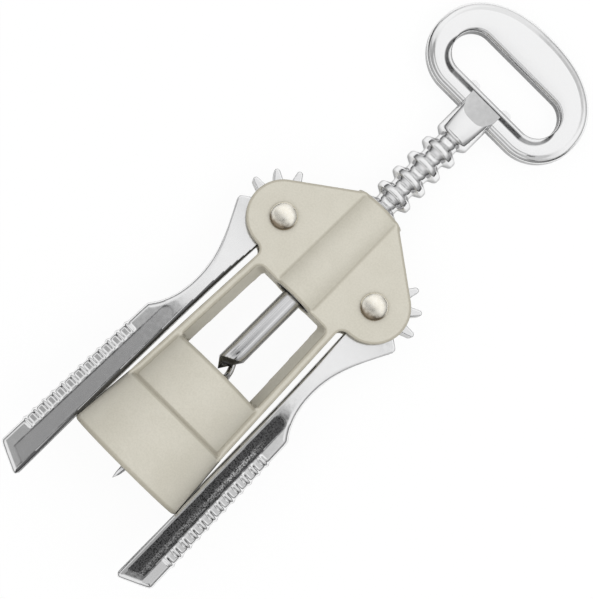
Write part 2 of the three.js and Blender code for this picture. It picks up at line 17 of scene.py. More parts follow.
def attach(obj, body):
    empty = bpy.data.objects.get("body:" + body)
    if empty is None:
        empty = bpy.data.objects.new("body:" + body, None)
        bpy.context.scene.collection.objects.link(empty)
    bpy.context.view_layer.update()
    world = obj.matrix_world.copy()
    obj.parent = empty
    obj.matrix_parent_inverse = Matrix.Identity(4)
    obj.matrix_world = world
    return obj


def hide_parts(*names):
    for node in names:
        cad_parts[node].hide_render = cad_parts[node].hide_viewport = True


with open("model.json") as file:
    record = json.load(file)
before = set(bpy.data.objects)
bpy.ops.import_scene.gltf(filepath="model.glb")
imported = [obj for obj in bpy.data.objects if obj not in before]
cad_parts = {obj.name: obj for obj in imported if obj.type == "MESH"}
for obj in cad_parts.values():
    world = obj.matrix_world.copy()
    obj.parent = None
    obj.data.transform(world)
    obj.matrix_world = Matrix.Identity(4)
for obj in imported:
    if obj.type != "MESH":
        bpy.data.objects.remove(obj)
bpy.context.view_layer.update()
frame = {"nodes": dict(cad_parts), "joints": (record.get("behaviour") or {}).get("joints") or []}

# Where the corkscrew lies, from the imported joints

MILLIMETRE = 0.001
joints = {joint["name"]: joint for joint in frame["joints"]}
rim_centre = Vector(joints["spindle_turn"]["pos_m"])
along_spindle = -Vector(joints["spindle_turn"]["axis"]).normalized()
out_of_front = Vector(joints["lever_right_pivot"]["axis"]).normalized()
lying = Matrix((along_spindle.cross(out_of_front), along_spindle, out_of_front)).transposed().to_4x4()
lying.translation = rim_centre
dip = math.asin(-along_spindle.z)

# Bell

RIM_RADIUS = 18.1
RIM_ROUNDING = 0.7
SKIRT_HEIGHT = 18.5
SKIRT_TOP_RADIUS = 16.5
SKIRT_BORE_RIM = 15.4
SKIRT_BORE_TOP = 14.9
BELL_SHOULDER_DROP = 1
COLLAR_HEIGHT = 15.4
COLLAR_FOOT_RADIUS = 15.4
COLLAR_TOP_RADIUS = 14.8
COLLAR_BORE = 12.3
COLLAR_ROUNDING = 0.4

# Window between the struts

WINDOW_HEIGHT = 27.3
STRUT_OUTER_TOP = 14.4
STRUT_OUTER_FOOT = 16.3
STRUT_INNER_TOP = 10.1
STRUT_INNER_FOOT = 11.1
STRUT_DRAFT = 2.2
STRUT_LAND = 1.4
WINDOW_CORNER = 1.6

# Housing

CHEEK_DEPTH = 5.4
LOBE_RADIUS = 9.7
LOBE_FILLET = 2.1
BARREL_RISE = 19.8
BARREL_TOP_RADIUS = 7.65
BARREL_FOOT_RADIUS = 8
SHOULDER_HALF = 5.9
PIVOT_REACH = 16.5
PIVOT_RISE = 12.9
BORE_MARGIN = 0.1
BORE_LIP_FOOT = 0.2
BORE_LIP_TOP = 0.3

# Rivets

RIVET_RADIUS = 1.9
RIVET_HEAD_RADIUS = 3.65
RIVET_HEAD_HEIGHT = 1.7
RIVET_HEAD_EDGE = 0.35

# Rack of rings, its tail and its neck

RACK_PITCH = 5.55
RACK_RADIUS = 5.3
RACK_ROOT_RADIUS = 3.2
RACK_LAND = 1.64
RACK_ROOT_LAND = 1.5
RACK_EASING = 0.45
RING_COUNT_ABOVE = 8
RING_COUNT_BELOW = 1
TAIL_RADIUS = 4.4
TAIL_HEIGHT = 2.8
TANG_RADIUS = 1.8
TANG_LENGTH = 12
NECK_RADIUS = 5.1
NECK_HEIGHT = 8.1
NECK_EASING = 0.5
ROUND_FULLNESS = 2
NECK_FOOT_FULLNESS = 2.2
NECK_TOP_FULLNESS = 5
NECK_SHARES = (0, 0.02, 0.05, 0.12, 0.25, 0.5, 0.75, 1)
FACET_DROP = 6.6
FACET_PROUD = 0.2

# Handle ring

SLOT_HALF_WIDTH = 17.7
SLOT_HALF_HEIGHT = 5.7
SIDE_WIDTH = 6.7
TOP_WIDTH = 12
OVAL_FULLNESS = 2.25
EDGE_DEPTH = 1.7
FACE_DEPTH = 2.7
HANDLE_BEVEL = 1.8
EDGE_ROUND = 0.5
BAND_WIDTH = 1.3
BAND_DEPTH = 2.35
STEP_WIDTH = 1.1
STEP_NARROWING = 0.6
CHAMFER_TOP = 0.8
CHAMFER_SIDE = 0.5
CHAMFER_FOOT = 2.7
SHELF_WIDTH = 0.75
SHELF_SLOPE = 0.12
SHELF_LOWNESS = (0.3, 0.9)
CHAMFER_SLOPE_TOP = 1.25
CHAMFER_SLOPE_FOOT = 0.62
CHAMFER_ROUND = 0.25
LUG_REACH = 5.7
LUG_HALF_WIDTH = 1.5
LUG_HEIGHT = 1.1
LUG_DEPTH = 0.9

# Levers, with u outward and v up from the pivot

HUB_DEPTH = 2.8
HUB_ROOT_RADIUS = 9.4
TOOTH_TIP_RADIUS = 12.9
TOOTH_BASE_HALF = 1.4
TOOTH_TIP_HALF = 0.8
TOOTH_CORNER = 0.45
TEETH_OVER_TOP = 6
TEETH_BELOW = 1
SHOULDER_RADIUS = 13.1
SHOULDER_ANGLE = -17.3
SHOULDER_START_ANGLE = -11
LEVER_LENGTH = 94.9
ARM_TOP_INNER = -0.5
WAIST_DROP = 27
WAIST_OUTER = 4.7
WAIST_INNER = 0.3
SHOULDER_PULL = (0.55, 0.35)
WAIST_PULL = 0.63
WAIST_FOOT_PULL = 0.5
GRIP_PULL = (0.45, 0.8)
GRIP_TOP = 40
GRIP_OUTER_TOP = 9
GRIP_OUTER_END = 10.4
GRIP_INNER_TOP = 0.5
GRIP_INNER_END = 1.3
GRIP_DEPTH = 4.6
GRIP_END_SLANT = 4.2
GRIP_CORNER = 1.2
ARM_DEPTH_START = 12.5
ARM_DEPTH_FULL = 36
EDGE_REACH_HUB = 0.3
EDGE_REACH = 1.5
EDGE_FALL = 1.1
PANEL_BORDER = 3.2
PANEL_RAIL = 1.1
PANEL_DEPTH = 0.04
PANEL_EASING = 0.5
PANEL_TOP = 36.8
PANEL_END_MARGIN = 2
RIB_COUNT = 12
RIB_PITCH = 3.18
RIB_HALF = 1
RIB_PROUD = 0.4
RIB_START = 48.2
RIB_RUN_IN = 6
CELL_DISH = 0.3
BORDER_FALL = 0.5
# Reach and lean of the painted shade on each lever's side by the bell
SHADE_REACH = 2
SHADE_LEAN_LEFT = 0.25
SHADE_LEAN_RIGHT = 0.8
SHOULDER_ROUND = 0.35

# Worm

SHANK_RADIUS = 2.9
COIL_RADIUS = 2.4
COIL_PITCH = 8.8
WIRE_HALF_HEIGHT = 1.1
WIRE_HALF_WIDTH = 0.85
WORM_REACH = 4.2
SHANK_END_RISE = 6.4
SHANK_END_SLANT = 2.9
SHANK_POINT_DROP = 4.3
SHANK_POINT_SIDE = 0.8
COIL_START_RISE = 1.2
COIL_TAPER = 13
COIL_TAPER_FOOT = -1
COIL_PHASE = -23
TIP_RADIUS_SHARE = 0.06
TIP_WIRE_SHARE = 0.08
POINT_LENGTH = 3.5
CUT_LEAN = 0.25

# Guide bush, clearances and cutting

BUSH_WALL = 1
BUSH_LENGTH = 6
BUSH_EASING = 0.2
GAP = 0.3
LEVER_GAP = 0.35
OVERRUN = 2

# Fineness of the meshes

TURNED_FACETS = 128
HANDLE_FACETS = 360
CURVE_STEPS = 16
EASING_STEPS = 4
EDGE_STEPS = 6
BAND_STEPS = 8
COIL_STEPS = 40
WIRE_SIDES = 20
CASTING_GRAIN = 0.3
CASTING_PASSES = 5
CHROME_GRAIN = 0.22
CHROME_PASSES = 1
TURN_PASSES = 2
EDGE_STATION = 0.15
MERGE_DISTANCE = 1e-5
SLIVER_DISTANCE = 1e-6

# Crisp edges and tolerances

CREASE = 50
HANDLE_CREASE = 45
RACK_CREASE = 60
WORM_CREASE = 35
PLANE_TOLERANCE = 1e-4
PLANE_LEAN = 0.1
WALL_TOLERANCE = 0.02

# Places worked out from the sizes

BELL_HEIGHT = SKIRT_HEIGHT + COLLAR_HEIGHT
HOUSING_FOOT = BELL_HEIGHT + WINDOW_HEIGHT
PIVOT_HEIGHT = HOUSING_FOOT + PIVOT_RISE
BARREL_TOP = PIVOT_HEIGHT + BARREL_RISE
RACK_TOP = PIVOT_HEIGHT + (RING_COUNT_ABOVE - 0.5) * RACK_PITCH
RING_FLANK = (RACK_PITCH - RACK_LAND - RACK_ROOT_LAND) / 2
NECK_FOOT = RACK_TOP + RACK_PITCH - RACK_LAND / 2
HANDLE_FOOT = NECK_FOOT + NECK_HEIGHT
HANDLE_HALF_WIDTH = SLOT_HALF_WIDTH + SIDE_WIDTH
HANDLE_RISE = SLOT_HALF_HEIGHT + TOP_WIDTH
HANDLE_DROP = SLOT_HALF_HEIGHT + SIDE_WIDTH
SLOT_CENTRE = HANDLE_FOOT + HANDLE_DROP
SLOT_STRAIGHT = SLOT_HALF_WIDTH - SLOT_HALF_HEIGHT
NECK_TOP = SLOT_CENTRE - SLOT_HALF_HEIGHT - HANDLE_BEVEL
TAIL_TOP = PIVOT_HEIGHT - (RING_COUNT_BELOW + 0.5) * RACK_PITCH + RACK_LAND / 2
TAIL_FOOT = TAIL_TOP - TAIL_HEIGHT
SPINDLE_BORE = RACK_RADIUS + GAP
BUSH_SEAT = SPINDLE_BORE + BUSH_WALL + GAP
BUSH_FOOT = BARREL_TOP - BUSH_LENGTH
TANG_TOP = TAIL_FOOT + TANG_LENGTH
SHANK_END = BELL_HEIGHT + SHANK_END_RISE
COIL_START = BELL_HEIGHT + COIL_START_RISE
GRIP_OUTER_FOOT = LEVER_LENGTH - GRIP_END_SLANT
HUB_SLOT_DEPTH = HUB_DEPTH + GAP
TOOTH_ANGLE = math.degrees(RACK_PITCH / (PIVOT_REACH - RACK_RADIUS))


def lerp(start, end, share):
    return start + (end - start) * share


def smooth_step(low, high, value):
    share = min(1, max(0, (value - low) / (high - low)))
    return share * share * (3 - 2 * share)


def polar(radius, degrees):
    angle = math.radians(degrees)
    return Vector((radius * math.cos(angle), radius * math.sin(angle)))


def circle(radius, count):
    return [polar(radius, 360 * i / count) for i in range(count)]


# Solids

def solid(name, points, faces):
    """A body of points and faces, or the hull of the points if there are no faces."""
    mesh = bpy.data.meshes.new(name)
    mesh.from_pydata([tuple(point) for point in points], [], faces)
    work = bmesh.new()
    work.from_mesh(mesh)
    bmesh.ops.remove_doubles(work, verts=work.verts, dist=MERGE_DISTANCE)
    bmesh.ops.dissolve_degenerate(work, edges=work.edges, dist=SLIVER_DISTANCE)
    if not faces:
        bmesh.ops.convex_hull(work, input=work.verts)
        inside = [vert for vert in work.verts if not vert.link_faces]
        bmesh.ops.delete(work, geom=inside, context="VERTS")
    bmesh.ops.recalc_face_normals(work, faces=work.faces)
    work.to_mesh(mesh)
    work.free()
    made = bpy.data.objects.new(name, mesh)
    bpy.context.scene.collection.objects.link(made)
    return made


def skin(rings, joined):
    """Points and faces through rings of as many points each. If joined, the last meets the first."""
    sides = len(rings[0])
    count = len(rings) * sides
    faces = []
    for start in range(0, count if joined else count - sides, sides):
        for s in range(sides):
            a, b = start + s, start + (s + 1) % sides
            faces.append((a, b, (b + sides) % count, (a + sides) % count))
    return [point for ring in rings for point in ring], faces


def lofted(name, rings):
    """A body through rings of points, with both ends closed."""
    points, faces = skin(rings, joined=False)
    sides = len(rings[0])
    faces.append(tuple(reversed(range(sides))))
    faces.append(tuple(range(len(points) - sides, len(points))))
    return solid(name, points, faces)


def looped(name, rings):
    """A closed loop of rings, such as a handle or a turned body."""
    return solid(name, *skin(rings, joined=True))


def turned(name, profile):
    """A closed profile of (radius, height) turned about the spindle's axis."""
    rings = []
    for c, s in circle(1, TURNED_FACETS):
        rings.append([(radius * c, height, radius * s) for radius, height in profile])
    return looped(name, rings)


def slab(name, outline, low, high):
    """An outline given depth from z = low to z = high."""
    return lofted(name, [[(x, y, z) for x, y in outline] for z in (low, high)])


def hull(name, points):
    return solid(name, points, [])


def cross_bar(name, radius, half_depth, x, y):
    """A round bar along z through a point."""
    corners = [Vector((x, y)) + point for point in circle(radius, TURNED_FACETS)]
    return slab(name, corners, -half_depth, half_depth)


def bezier(*controls, steps=CURVE_STEPS):
    """Points of a Bezier curve, without its first."""
    made = []
    for i in range(1, steps + 1):
        level = [Vector(point) for point in controls]
        while len(level) > 1:
            level = [a.lerp(b, i / steps) for a, b in zip(level, level[1:])]
        made.append(level[0])
    return made


def turn_corner(points, corner, end):
    """Leads the points on, round a corner."""
    points += bezier(points[-1], corner, end, steps=EASING_STEPS)


def eased(profile, easing):
    """The profile with its corners rounded, apart from those on the axis."""
    made = []
    for i, point in enumerate(profile):
        here = Vector(point)
        before = Vector(profile[i - 1]) - here
        after = Vector(profile[(i + 1) % len(profile)]) - here
        if here.x == 0:
            made.append(here)
            continue
        reach = min(easing, before.length / 2, after.length / 2)
        start, end = here + before.normalized() * reach, here + after.normalized() * reach
        made.append(start)
        turn_corner(made, here, end)
    return made


def settle(made):
    """Applies the modifiers that a body carries."""
    evaluated = made.evaluated_get(bpy.context.evaluated_depsgraph_get())
    mesh = bpy.data.meshes.new_from_object(evaluated)
    made.modifiers.clear()
    made.data = mesh
    return made


def combined(operation, body, tools):
    for tool in tools:
        modifier = body.modifiers.new(operation.lower(), "BOOLEAN")
        modifier.operation = operation
        modifier.solver = "MANIFOLD"
        modifier.object = tool
    settle(body)
    for tool in tools:
        bpy.data.objects.remove(tool)
    return body


def fused(body, *others):
    return combined("UNION", body, others)


def carved(body, *tools):
    return combined("DIFFERENCE", body, tools)


def cast(body, grain, passes):
    """Eases every edge and inside corner, as in a casting."""
    remesh = body.modifiers.new("grain", "REMESH")
    remesh.mode = "VOXEL"
    remesh.voxel_size = grain
    ease = body.modifiers.new("ease", "SMOOTH")
    ease.iterations = passes
    return settle(body)


def smooth_shaded(body, angle=None):
    """Shades a body smoothly, apart from the edges that are sharper than an angle."""
    mesh = body.data
    mesh.polygons.foreach_set("use_smooth", [True] * len(mesh.polygons))
    if angle:
        mesh.set_sharp_from_angle(angle=math.radians(angle))
    return body


def mark_turns(body):
    """Stores how sharply the surface turns at each point: above zero on edges, below it in corners."""
    mesh = body.data
    count = len(mesh.vertices)
    places, normals = np.empty(3 * count), np.empty(3 * count)
    ends = np.empty(2 * len(mesh.edges), dtype=int)
    mesh.vertices.foreach_get("co", places)
    mesh.vertices.foreach_get("normal", normals)
    mesh.edges.foreach_get("vertices", ends)
    places, normals = places.reshape(-1, 3), normals.reshape(-1, 3)
    a, b = ends.reshape(-1, 2).T
    across = places[b] - places[a]
    turn = ((normals[b] - normals[a]) * across).sum(1) / (across ** 2).sum(1)
    near = np.bincount(a, minlength=count) + np.bincount(b, minlength=count)
    turns = (np.bincount(a, turn, count) + np.bincount(b, turn, count)) / near
    for _ in range(TURN_PASSES):
        turns = (np.bincount(a, turns[b], count) + np.bincount(b, turns[a], count)) / near
    mesh.attributes.new("turn", "FLOAT", "POINT").data.foreach_set("value", turns)


def shown(body, name, rides_on, replaced, finishes, choice=None):
    """Lays a body in its place, with a choice of finish for each face if it has several."""
    body.name = name
    body.data.transform(lying @ Matrix.Scale(MILLIMETRE, 4))
    body.data.materials.clear()
    for finish in finishes:
        body.data.materials.append(finish)
    if choice:
        body.data.polygons.foreach_set("material_index", choice)
    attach(body, rides_on)
    if replaced:
        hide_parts(*replaced)


# Frame casting

def cheek_outline():
    """The struts run up into a round lobe at each pivot, and a straight side leads from it to the barrel."""
    reach = math.hypot(PIVOT_REACH - SHOULDER_HALF, BARREL_RISE)
    to_shoulder = math.atan2(BARREL_RISE, SHOULDER_HALF - PIVOT_REACH)
    slope = math.degrees(to_shoulder - math.acos(LOBE_RADIUS / reach))
    fillet_x = STRUT_OUTER_TOP + LOBE_FILLET
    fillet_drop = math.sqrt((LOBE_RADIUS + LOBE_FILLET) ** 2 - (PIVOT_REACH - fillet_x) ** 2)
    half = [
        Vector((STRUT_OUTER_FOOT, SKIRT_HEIGHT - BELL_SHOULDER_DROP)),
        Vector((STRUT_OUTER_FOOT, SKIRT_HEIGHT)),
    ]
    for i in range(CURVE_STEPS + 1):
        corner = Vector((fillet_x, PIVOT_HEIGHT - fillet_drop))
        half.append(corner + polar(LOBE_FILLET, lerp(180, 90, i / CURVE_STEPS)))
    for i in range(1, 3 * CURVE_STEPS + 1):
        lobe = Vector((PIVOT_REACH, PIVOT_HEIGHT))
        half.append(lobe + polar(LOBE_RADIUS, lerp(-90, slope, i / (3 * CURVE_STEPS))))
    half.append(Vector((SHOULDER_HALF, BARREL_TOP)))
    return half + [Vector((-x, y)) for x, y in reversed(half)]


def window_tools():
    """The window is narrowest on the land at mid-depth and opens to the front and the back."""
    def level(depth, draft):
        top, foot = STRUT_INNER_TOP + draft, STRUT_INNER_FOOT + draft
        half = [(foot, BELL_HEIGHT)]
        for i in range(EASING_STEPS + 1):
            across, up = polar(WINDOW_CORNER, 90 * i / EASING_STEPS)
            half.append((top - WINDOW_CORNER + across, HOUSING_FOOT - WINDOW_CORNER + up))
        return [(side * x, y, depth) for side in (-1, 1) for x, y in half]

    outer_depth = CHEEK_DEPTH + OVERRUN
    outer_draft = STRUT_DRAFT * (outer_depth - STRUT_LAND) / (CHEEK_DEPTH - STRUT_LAND)
    yield hull("window_land", level(-STRUT_LAND, 0) + level(STRUT_LAND, 0))
    for side in (-1, 1):
        points = level(0, 0) + level(side * STRUT_LAND, 0) + level(side * outer_depth, outer_draft)
        yield hull("window_mouth", points)


def bell_bore():
    """The skirt's bore and the narrower one of the collar, with the bottle's stop between them."""
    return turned("bell_bore", [
        (0, -OVERRUN),
        (SKIRT_BORE_RIM, -OVERRUN),
        (SKIRT_BORE_RIM, 0),
        (SKIRT_BORE_TOP, SKIRT_HEIGHT - BELL_SHOULDER_DROP),
        (COLLAR_BORE, SKIRT_HEIGHT - BELL_SHOULDER_DROP),
        (COLLAR_BORE, BELL_HEIGHT + GAP),
        (0, BELL_HEIGHT + GAP),
    ])


def spindle_bore():
    """The barrel's bore, wider where it takes the guide bush."""
    return turned("spindle_bore", [
        (0, HOUSING_FOOT - OVERRUN),
        (SPINDLE_BORE, HOUSING_FOOT - OVERRUN),
        (SPINDLE_BORE, BUSH_FOOT - GAP),
        (BUSH_SEAT, BUSH_FOOT - GAP),
        (BUSH_SEAT, BARREL_TOP + OVERRUN),
        (0, BARREL_TOP + OVERRUN),
    ])


def in_spindle_bore(face):
    x, y, z = face.center
    inside = math.hypot(x, z) < BUSH_SEAT + BORE_MARGIN
    return inside and HOUSING_FOOT + BORE_LIP_FOOT < y < BARREL_TOP - BORE_LIP_TOP


def frame_casting(finish, shade_finish):
    body = turned("bell", [
        (0, 0),
        (RIM_RADIUS - RIM_ROUNDING, 0),
        (RIM_RADIUS, RIM_ROUNDING),
        (SKIRT_TOP_RADIUS, SKIRT_HEIGHT),
        (COLLAR_FOOT_RADIUS, SKIRT_HEIGHT),
        (COLLAR_TOP_RADIUS, BELL_HEIGHT - COLLAR_ROUNDING),
        (COLLAR_TOP_RADIUS - COLLAR_ROUNDING, BELL_HEIGHT),
        (0, BELL_HEIGHT),
    ])
    barrel = turned("barrel", [
        (0, HOUSING_FOOT),
        (BARREL_FOOT_RADIUS, HOUSING_FOOT),
        (BARREL_TOP_RADIUS, BARREL_TOP),
        (0, BARREL_TOP),
    ])
    fused(body, slab("cheeks", cheek_outline(), -CHEEK_DEPTH, CHEEK_DEPTH), barrel)
    tools = [*window_tools(), bell_bore(), spindle_bore()]
    for side in (-1, 1):
        x = side * PIVOT_REACH
        tools.append(cross_bar("hub_slot", SHOULDER_RADIUS + GAP, HUB_SLOT_DEPTH, x, PIVOT_HEIGHT))
        tools.append(cross_bar("rivet_hole", RIVET_RADIUS + GAP, CHEEK_DEPTH + OVERRUN, x, PIVOT_HEIGHT))
    carved(body, *tools)
    cast(body, CASTING_GRAIN, CASTING_PASSES)
    smooth_shaded(body)
    mark_turns(body)
    # The bore is left bare, and its dark plating paints the shade inside it.
    bare_and_shaded = [int(in_spindle_bore(face)) for face in body.data.polygons]
    shown(body, "frame_casting", "frame", ["frame"], [finish, shade_finish], bare_and_shaded)


# Rivets

def rivet(side, finish):
    """A pin with the same low dome in front and behind."""
    seat, edge = CHEEK_DEPTH + GAP / 2, CHEEK_DEPTH + GAP + RIVET_HEAD_EDGE
    dome = RIVET_HEAD_HEIGHT - RIVET_HEAD_EDGE
    upper = [(RIVET_RADIUS, 0), (RIVET_RADIUS, seat), (RIVET_HEAD_RADIUS, seat)]
    for i in range(CURVE_STEPS):
        across, up = polar(1, 90 * i / CURVE_STEPS)
        upper.append((RIVET_HEAD_RADIUS * across, edge + dome * up))
    upper.append((0, edge + dome))
    lower = [(radius, -height) for radius, height in reversed(upper)]
    body = turned("rivet", lower + upper)
    pivot = Matrix.Translation((side * PIVOT_REACH, PIVOT_HEIGHT, 0))
    body.data.transform(pivot @ Matrix.Rotation(math.pi / 2, 4, "X"))
    smooth_shaded(body, CREASE)
    name = "right" if side > 0 else "left"
    shown(body, f"domed_rivet_{name}", "frame", [f"rivet_{name}"], [finish])


# Guide bush

def guide_bush(finish):
    outside = SPINDLE_BORE + BUSH_WALL
    profile = [
        (SPINDLE_BORE, BUSH_FOOT),
        (outside, BUSH_FOOT),
        (outside, BARREL_TOP),
        (SPINDLE_BORE, BARREL_TOP),
    ]
    body = smooth_shaded(turned("bush", eased(profile, BUSH_EASING)), CREASE)
    shown(body, "bush_ring", "guide_bush", ["guide_bush"], [finish])


# Spindle casting

def rack_profile():
    """The tail, and then one ring to each pitch up to the neck."""
    points = [
        (0, TAIL_FOOT),
        (TAIL_RADIUS, TAIL_FOOT),
        (TAIL_RADIUS, TAIL_TOP - RING_FLANK / 2),
        (RACK_ROOT_RADIUS, TAIL_TOP + RING_FLANK / 2),
    ]
    count = RING_COUNT_ABOVE + RING_COUNT_BELOW
    for i in range(count):
        centre = RACK_TOP - (count - 1 - i) * RACK_PITCH
        points += [
            (RACK_ROOT_RADIUS, centre - RACK_LAND / 2 - RING_FLANK),
            (RACK_RADIUS, centre - RACK_LAND / 2),
            (RACK_RADIUS, centre + RACK_LAND / 2),
            (RACK_ROOT_RADIUS, centre + RACK_LAND / 2 + RING_FLANK),
        ]
    points += [
        (RACK_ROOT_RADIUS, NECK_FOOT - RING_FLANK),
        (RACK_ROOT_RADIUS, NECK_FOOT + OVERRUN),
        (0, NECK_FOOT + OVERRUN),
    ]
    return eased(points, RACK_EASING)


def full_point(degrees, half_width, half_height, fullness):
    """A point of a superellipse, which is round at a fullness of 2 and nearly square at 5."""
    c, s = polar(1, degrees)
    power = ROUND_FULLNESS / fullness
    x = half_width * math.copysign(abs(c) ** power, c)
    return Vector((x, half_height * math.copysign(abs(s) ** power, s)))


def oval_point(degrees):
    """Above the slot the handle is a full oval, and below it runs round the slot at one width."""
    if degrees < 180:
        return full_point(degrees, HANDLE_HALF_WIDTH, HANDLE_RISE, OVAL_FULLNESS)
    x, y = polar(HANDLE_DROP, degrees)
    return Vector((x + math.copysign(SLOT_STRAIGHT, x), y))


def stepped_edge(low):
    """Up the ring's outer edge and over its low band to its face. The step is narrow low on the ring."""
    step = BAND_WIDTH + STEP_WIDTH * (1 - STEP_NARROWING * low)
    edge_top = (EDGE_ROUND, lerp(EDGE_DEPTH, BAND_DEPTH, EDGE_ROUND))
    half_up = ((BAND_WIDTH + step) / 2, (BAND_DEPTH + FACE_DEPTH) / 2)
    rise = [(BAND_WIDTH / 2, BAND_DEPTH), (BAND_WIDTH, BAND_DEPTH), half_up]
    points = [(0, 0), (0, EDGE_DEPTH - EDGE_ROUND)]
    points += bezier(points[-1], (0, EDGE_DEPTH), edge_top, steps=EDGE_STEPS)
    points += bezier(points[-1], *rise, steps=BAND_STEPS)
    points += bezier(points[-1], (step, FACE_DEPTH), (step + CHAMFER_ROUND, FACE_DEPTH), steps=EDGE_STEPS)
    return points


def slot_chamfer(start, width, low, high):
    """Over the ring's face and down the chamfer to the slot, with a narrow shelf low on the ring."""
    chamfer = CHAMFER_SIDE + (CHAMFER_FOOT - CHAMFER_SIDE) * low + (CHAMFER_TOP - CHAMFER_SIDE) * high
    slope = lerp(CHAMFER_SLOPE_TOP, CHAMFER_SLOPE_FOOT, (low - high + 1) / 2)
    shelf = SHELF_WIDTH * smooth_step(*SHELF_LOWNESS, low)
    ease, inner, edge = CHAMFER_ROUND, width - chamfer, width - CHAMFER_ROUND
    shelf_depth = FACE_DEPTH - (chamfer - shelf - ease) * slope
    edge_depth = shelf_depth - shelf * SHELF_SLOPE
    corner, turn = edge - shelf, min(ease, shelf / 2)
    shelf_start = (corner + turn, shelf_depth - turn * SHELF_SLOPE)
    wall_top = (width, edge_depth - ease * (1 + slope))
    points = [(lerp(start[0], inner - ease, share), FACE_DEPTH) for share in (0.5, 1)]
    slope_start = (inner + ease, FACE_DEPTH - ease * slope)
    turn_corner(points, (inner, FACE_DEPTH), slope_start)
    points.append((corner - turn, shelf_depth + turn * slope))
    turn_corner(points, (corner, shelf_depth), shelf_start)
    points.append((edge, edge_depth))
    turn_corner(points, (width, edge_depth - ease * slope), wall_top)
    return points


def handle_section(outer):
    """Points round the ring's section, from its outer edge over the front and back along the rear."""
    centre = Vector((min(SLOT_STRAIGHT, max(-SLOT_STRAIGHT, outer.x)), 0))
    inward = (centre - outer).normalized()
    width = (centre - outer).length - SLOT_HALF_HEIGHT
    low = max(0, inward.y)
    front = stepped_edge(low)
    front += slot_chamfer(front[-1], width, low, max(0, -inward.y))
    front.append((width, 0))
    rear = [(along, -z) for along, z in front[-2:0:-1]]
    made = []
    for along, z in front + rear:
        x, y = outer + inward * along
        made.append((x, SLOT_CENTRE + y, z))
    return made


def cap_lug(side):
    """A small lug low in the slot, which grips a bottle cap."""
    edge = SLOT_CENTRE - SLOT_HALF_HEIGHT
    x = side * LUG_REACH
    return slab("cap_lug", [
        (x - LUG_HALF_WIDTH, edge - LUG_HEIGHT),
        (x + LUG_HALF_WIDTH, edge - LUG_HEIGHT),
        (x + LUG_HALF_WIDTH, edge + LUG_HEIGHT / 2),
        (x + LUG_HALF_WIDTH / 2, edge + LUG_HEIGHT),
        (x - LUG_HALF_WIDTH / 2, edge + LUG_HEIGHT),
        (x - LUG_HALF_WIDTH, edge + LUG_HEIGHT / 2),
    ], -LUG_DEPTH, LUG_DEPTH)


def neck():
    """The neck is round at its foot and nearly square where it meets the ring."""
    facets = 2 * TURNED_FACETS
    levels = [
        (RACK_ROOT_RADIUS, NECK_FOOT - RING_FLANK, ROUND_FULLNESS),
        (NECK_RADIUS - NECK_EASING / 2, NECK_FOOT, ROUND_FULLNESS),
    ]
    for share in NECK_SHARES:
        height = lerp(NECK_FOOT + NECK_EASING, NECK_TOP, share)
        levels.append((NECK_RADIUS, height, lerp(NECK_FOOT_FULLNESS, NECK_TOP_FULLNESS, share)))
    rings = []
    for radius, height, fullness in levels:
        around = [full_point(360 * (i + 0.5) / facets, radius, radius, fullness) for i in range(facets)]
        rings.append([(x, height, z) for x, z in around])
    return lofted("neck", rings)


def neck_plane(side):
    """Planes the neck down to the face of the ring."""
    face = FACE_DEPTH + FACET_PROUD
    slope = (NECK_RADIUS - face) / FACET_DROP
    across = NECK_RADIUS + OVERRUN
    foot = NECK_TOP - FACET_DROP - OVERRUN
    points = []
    for x in (-across, across):
        points += [
            (x, foot, side * (NECK_RADIUS + slope * OVERRUN)),
            (x, foot, side * across),
            (x, NECK_TOP + OVERRUN, side * (face - slope * OVERRUN)),
            (x, NECK_TOP + OVERRUN, side * across),
        ]
    return hull("neck_plane", points)


def crisp_planes(body):
    """Keeps the borders of the neck's planed faces crisp, where all else is eased."""
    tilt = math.atan2(NECK_RADIUS - FACE_DEPTH - FACET_PROUD, FACET_DROP)
    sides = {}
    for face in body.data.polygons:
        off = abs(abs(face.normal.z) - math.cos(tilt))
        planed = face.normal.y > PLANE_LEAN and off < PLANE_TOLERANCE
        for key in face.edge_keys:
            sides.setdefault(key, set()).add(planed)
    for edge in body.data.edges:
        edge.use_edge_sharp = edge.use_edge_sharp or len(sides[edge.key]) > 1


def in_slot_wall(face):
    across = max(0, abs(face.center.x) - SLOT_STRAIGHT)
    reach = math.hypot(across, face.center.y - SLOT_CENTRE)
    on_wall = abs(reach - SLOT_HALF_HEIGHT) < WALL_TOLERANCE
    return on_wall and abs(face.center.x) < SLOT_HALF_WIDTH + BORE_MARGIN


def handle_casting(finish, shade_finish):
    stations = [oval_point(360 * (i + 0.5) / HANDLE_FACETS) for i in range(HANDLE_FACETS)]
    ring = looped("ring", [handle_section(outer) for outer in stations])
    block = carved(neck(), neck_plane(-1), neck_plane(1))
    fused(ring, block, cap_lug(-1), cap_lug(1))
    rack = turned("rack", rack_profile())
    carved(rack, turned("tang_bore", [
        (0, TAIL_FOOT - OVERRUN),
        (TANG_RADIUS + GAP, TAIL_FOOT - OVERRUN),
        (TANG_RADIUS + GAP, TANG_TOP + GAP),
        (0, TANG_TOP + GAP),
    ]))
    finishes = [finish, shade_finish]
    smooth_shaded(ring, HANDLE_CREASE)
    crisp_planes(ring)
    # The slot's wall and the rack's tail take the dark plating as painted shade.
    wall = [int(in_slot_wall(face)) for face in ring.data.polygons]
    smooth_shaded(rack, RACK_CREASE)
    tail = [int(face.center.y < TAIL_TOP) for face in rack.data.polygons]
    shown(rack, "ringed_rack", "spindle", [], finishes, tail)
    shown(ring, "oval_handle", "spindle", ["handle_rack"], finishes, wall)


# Worm

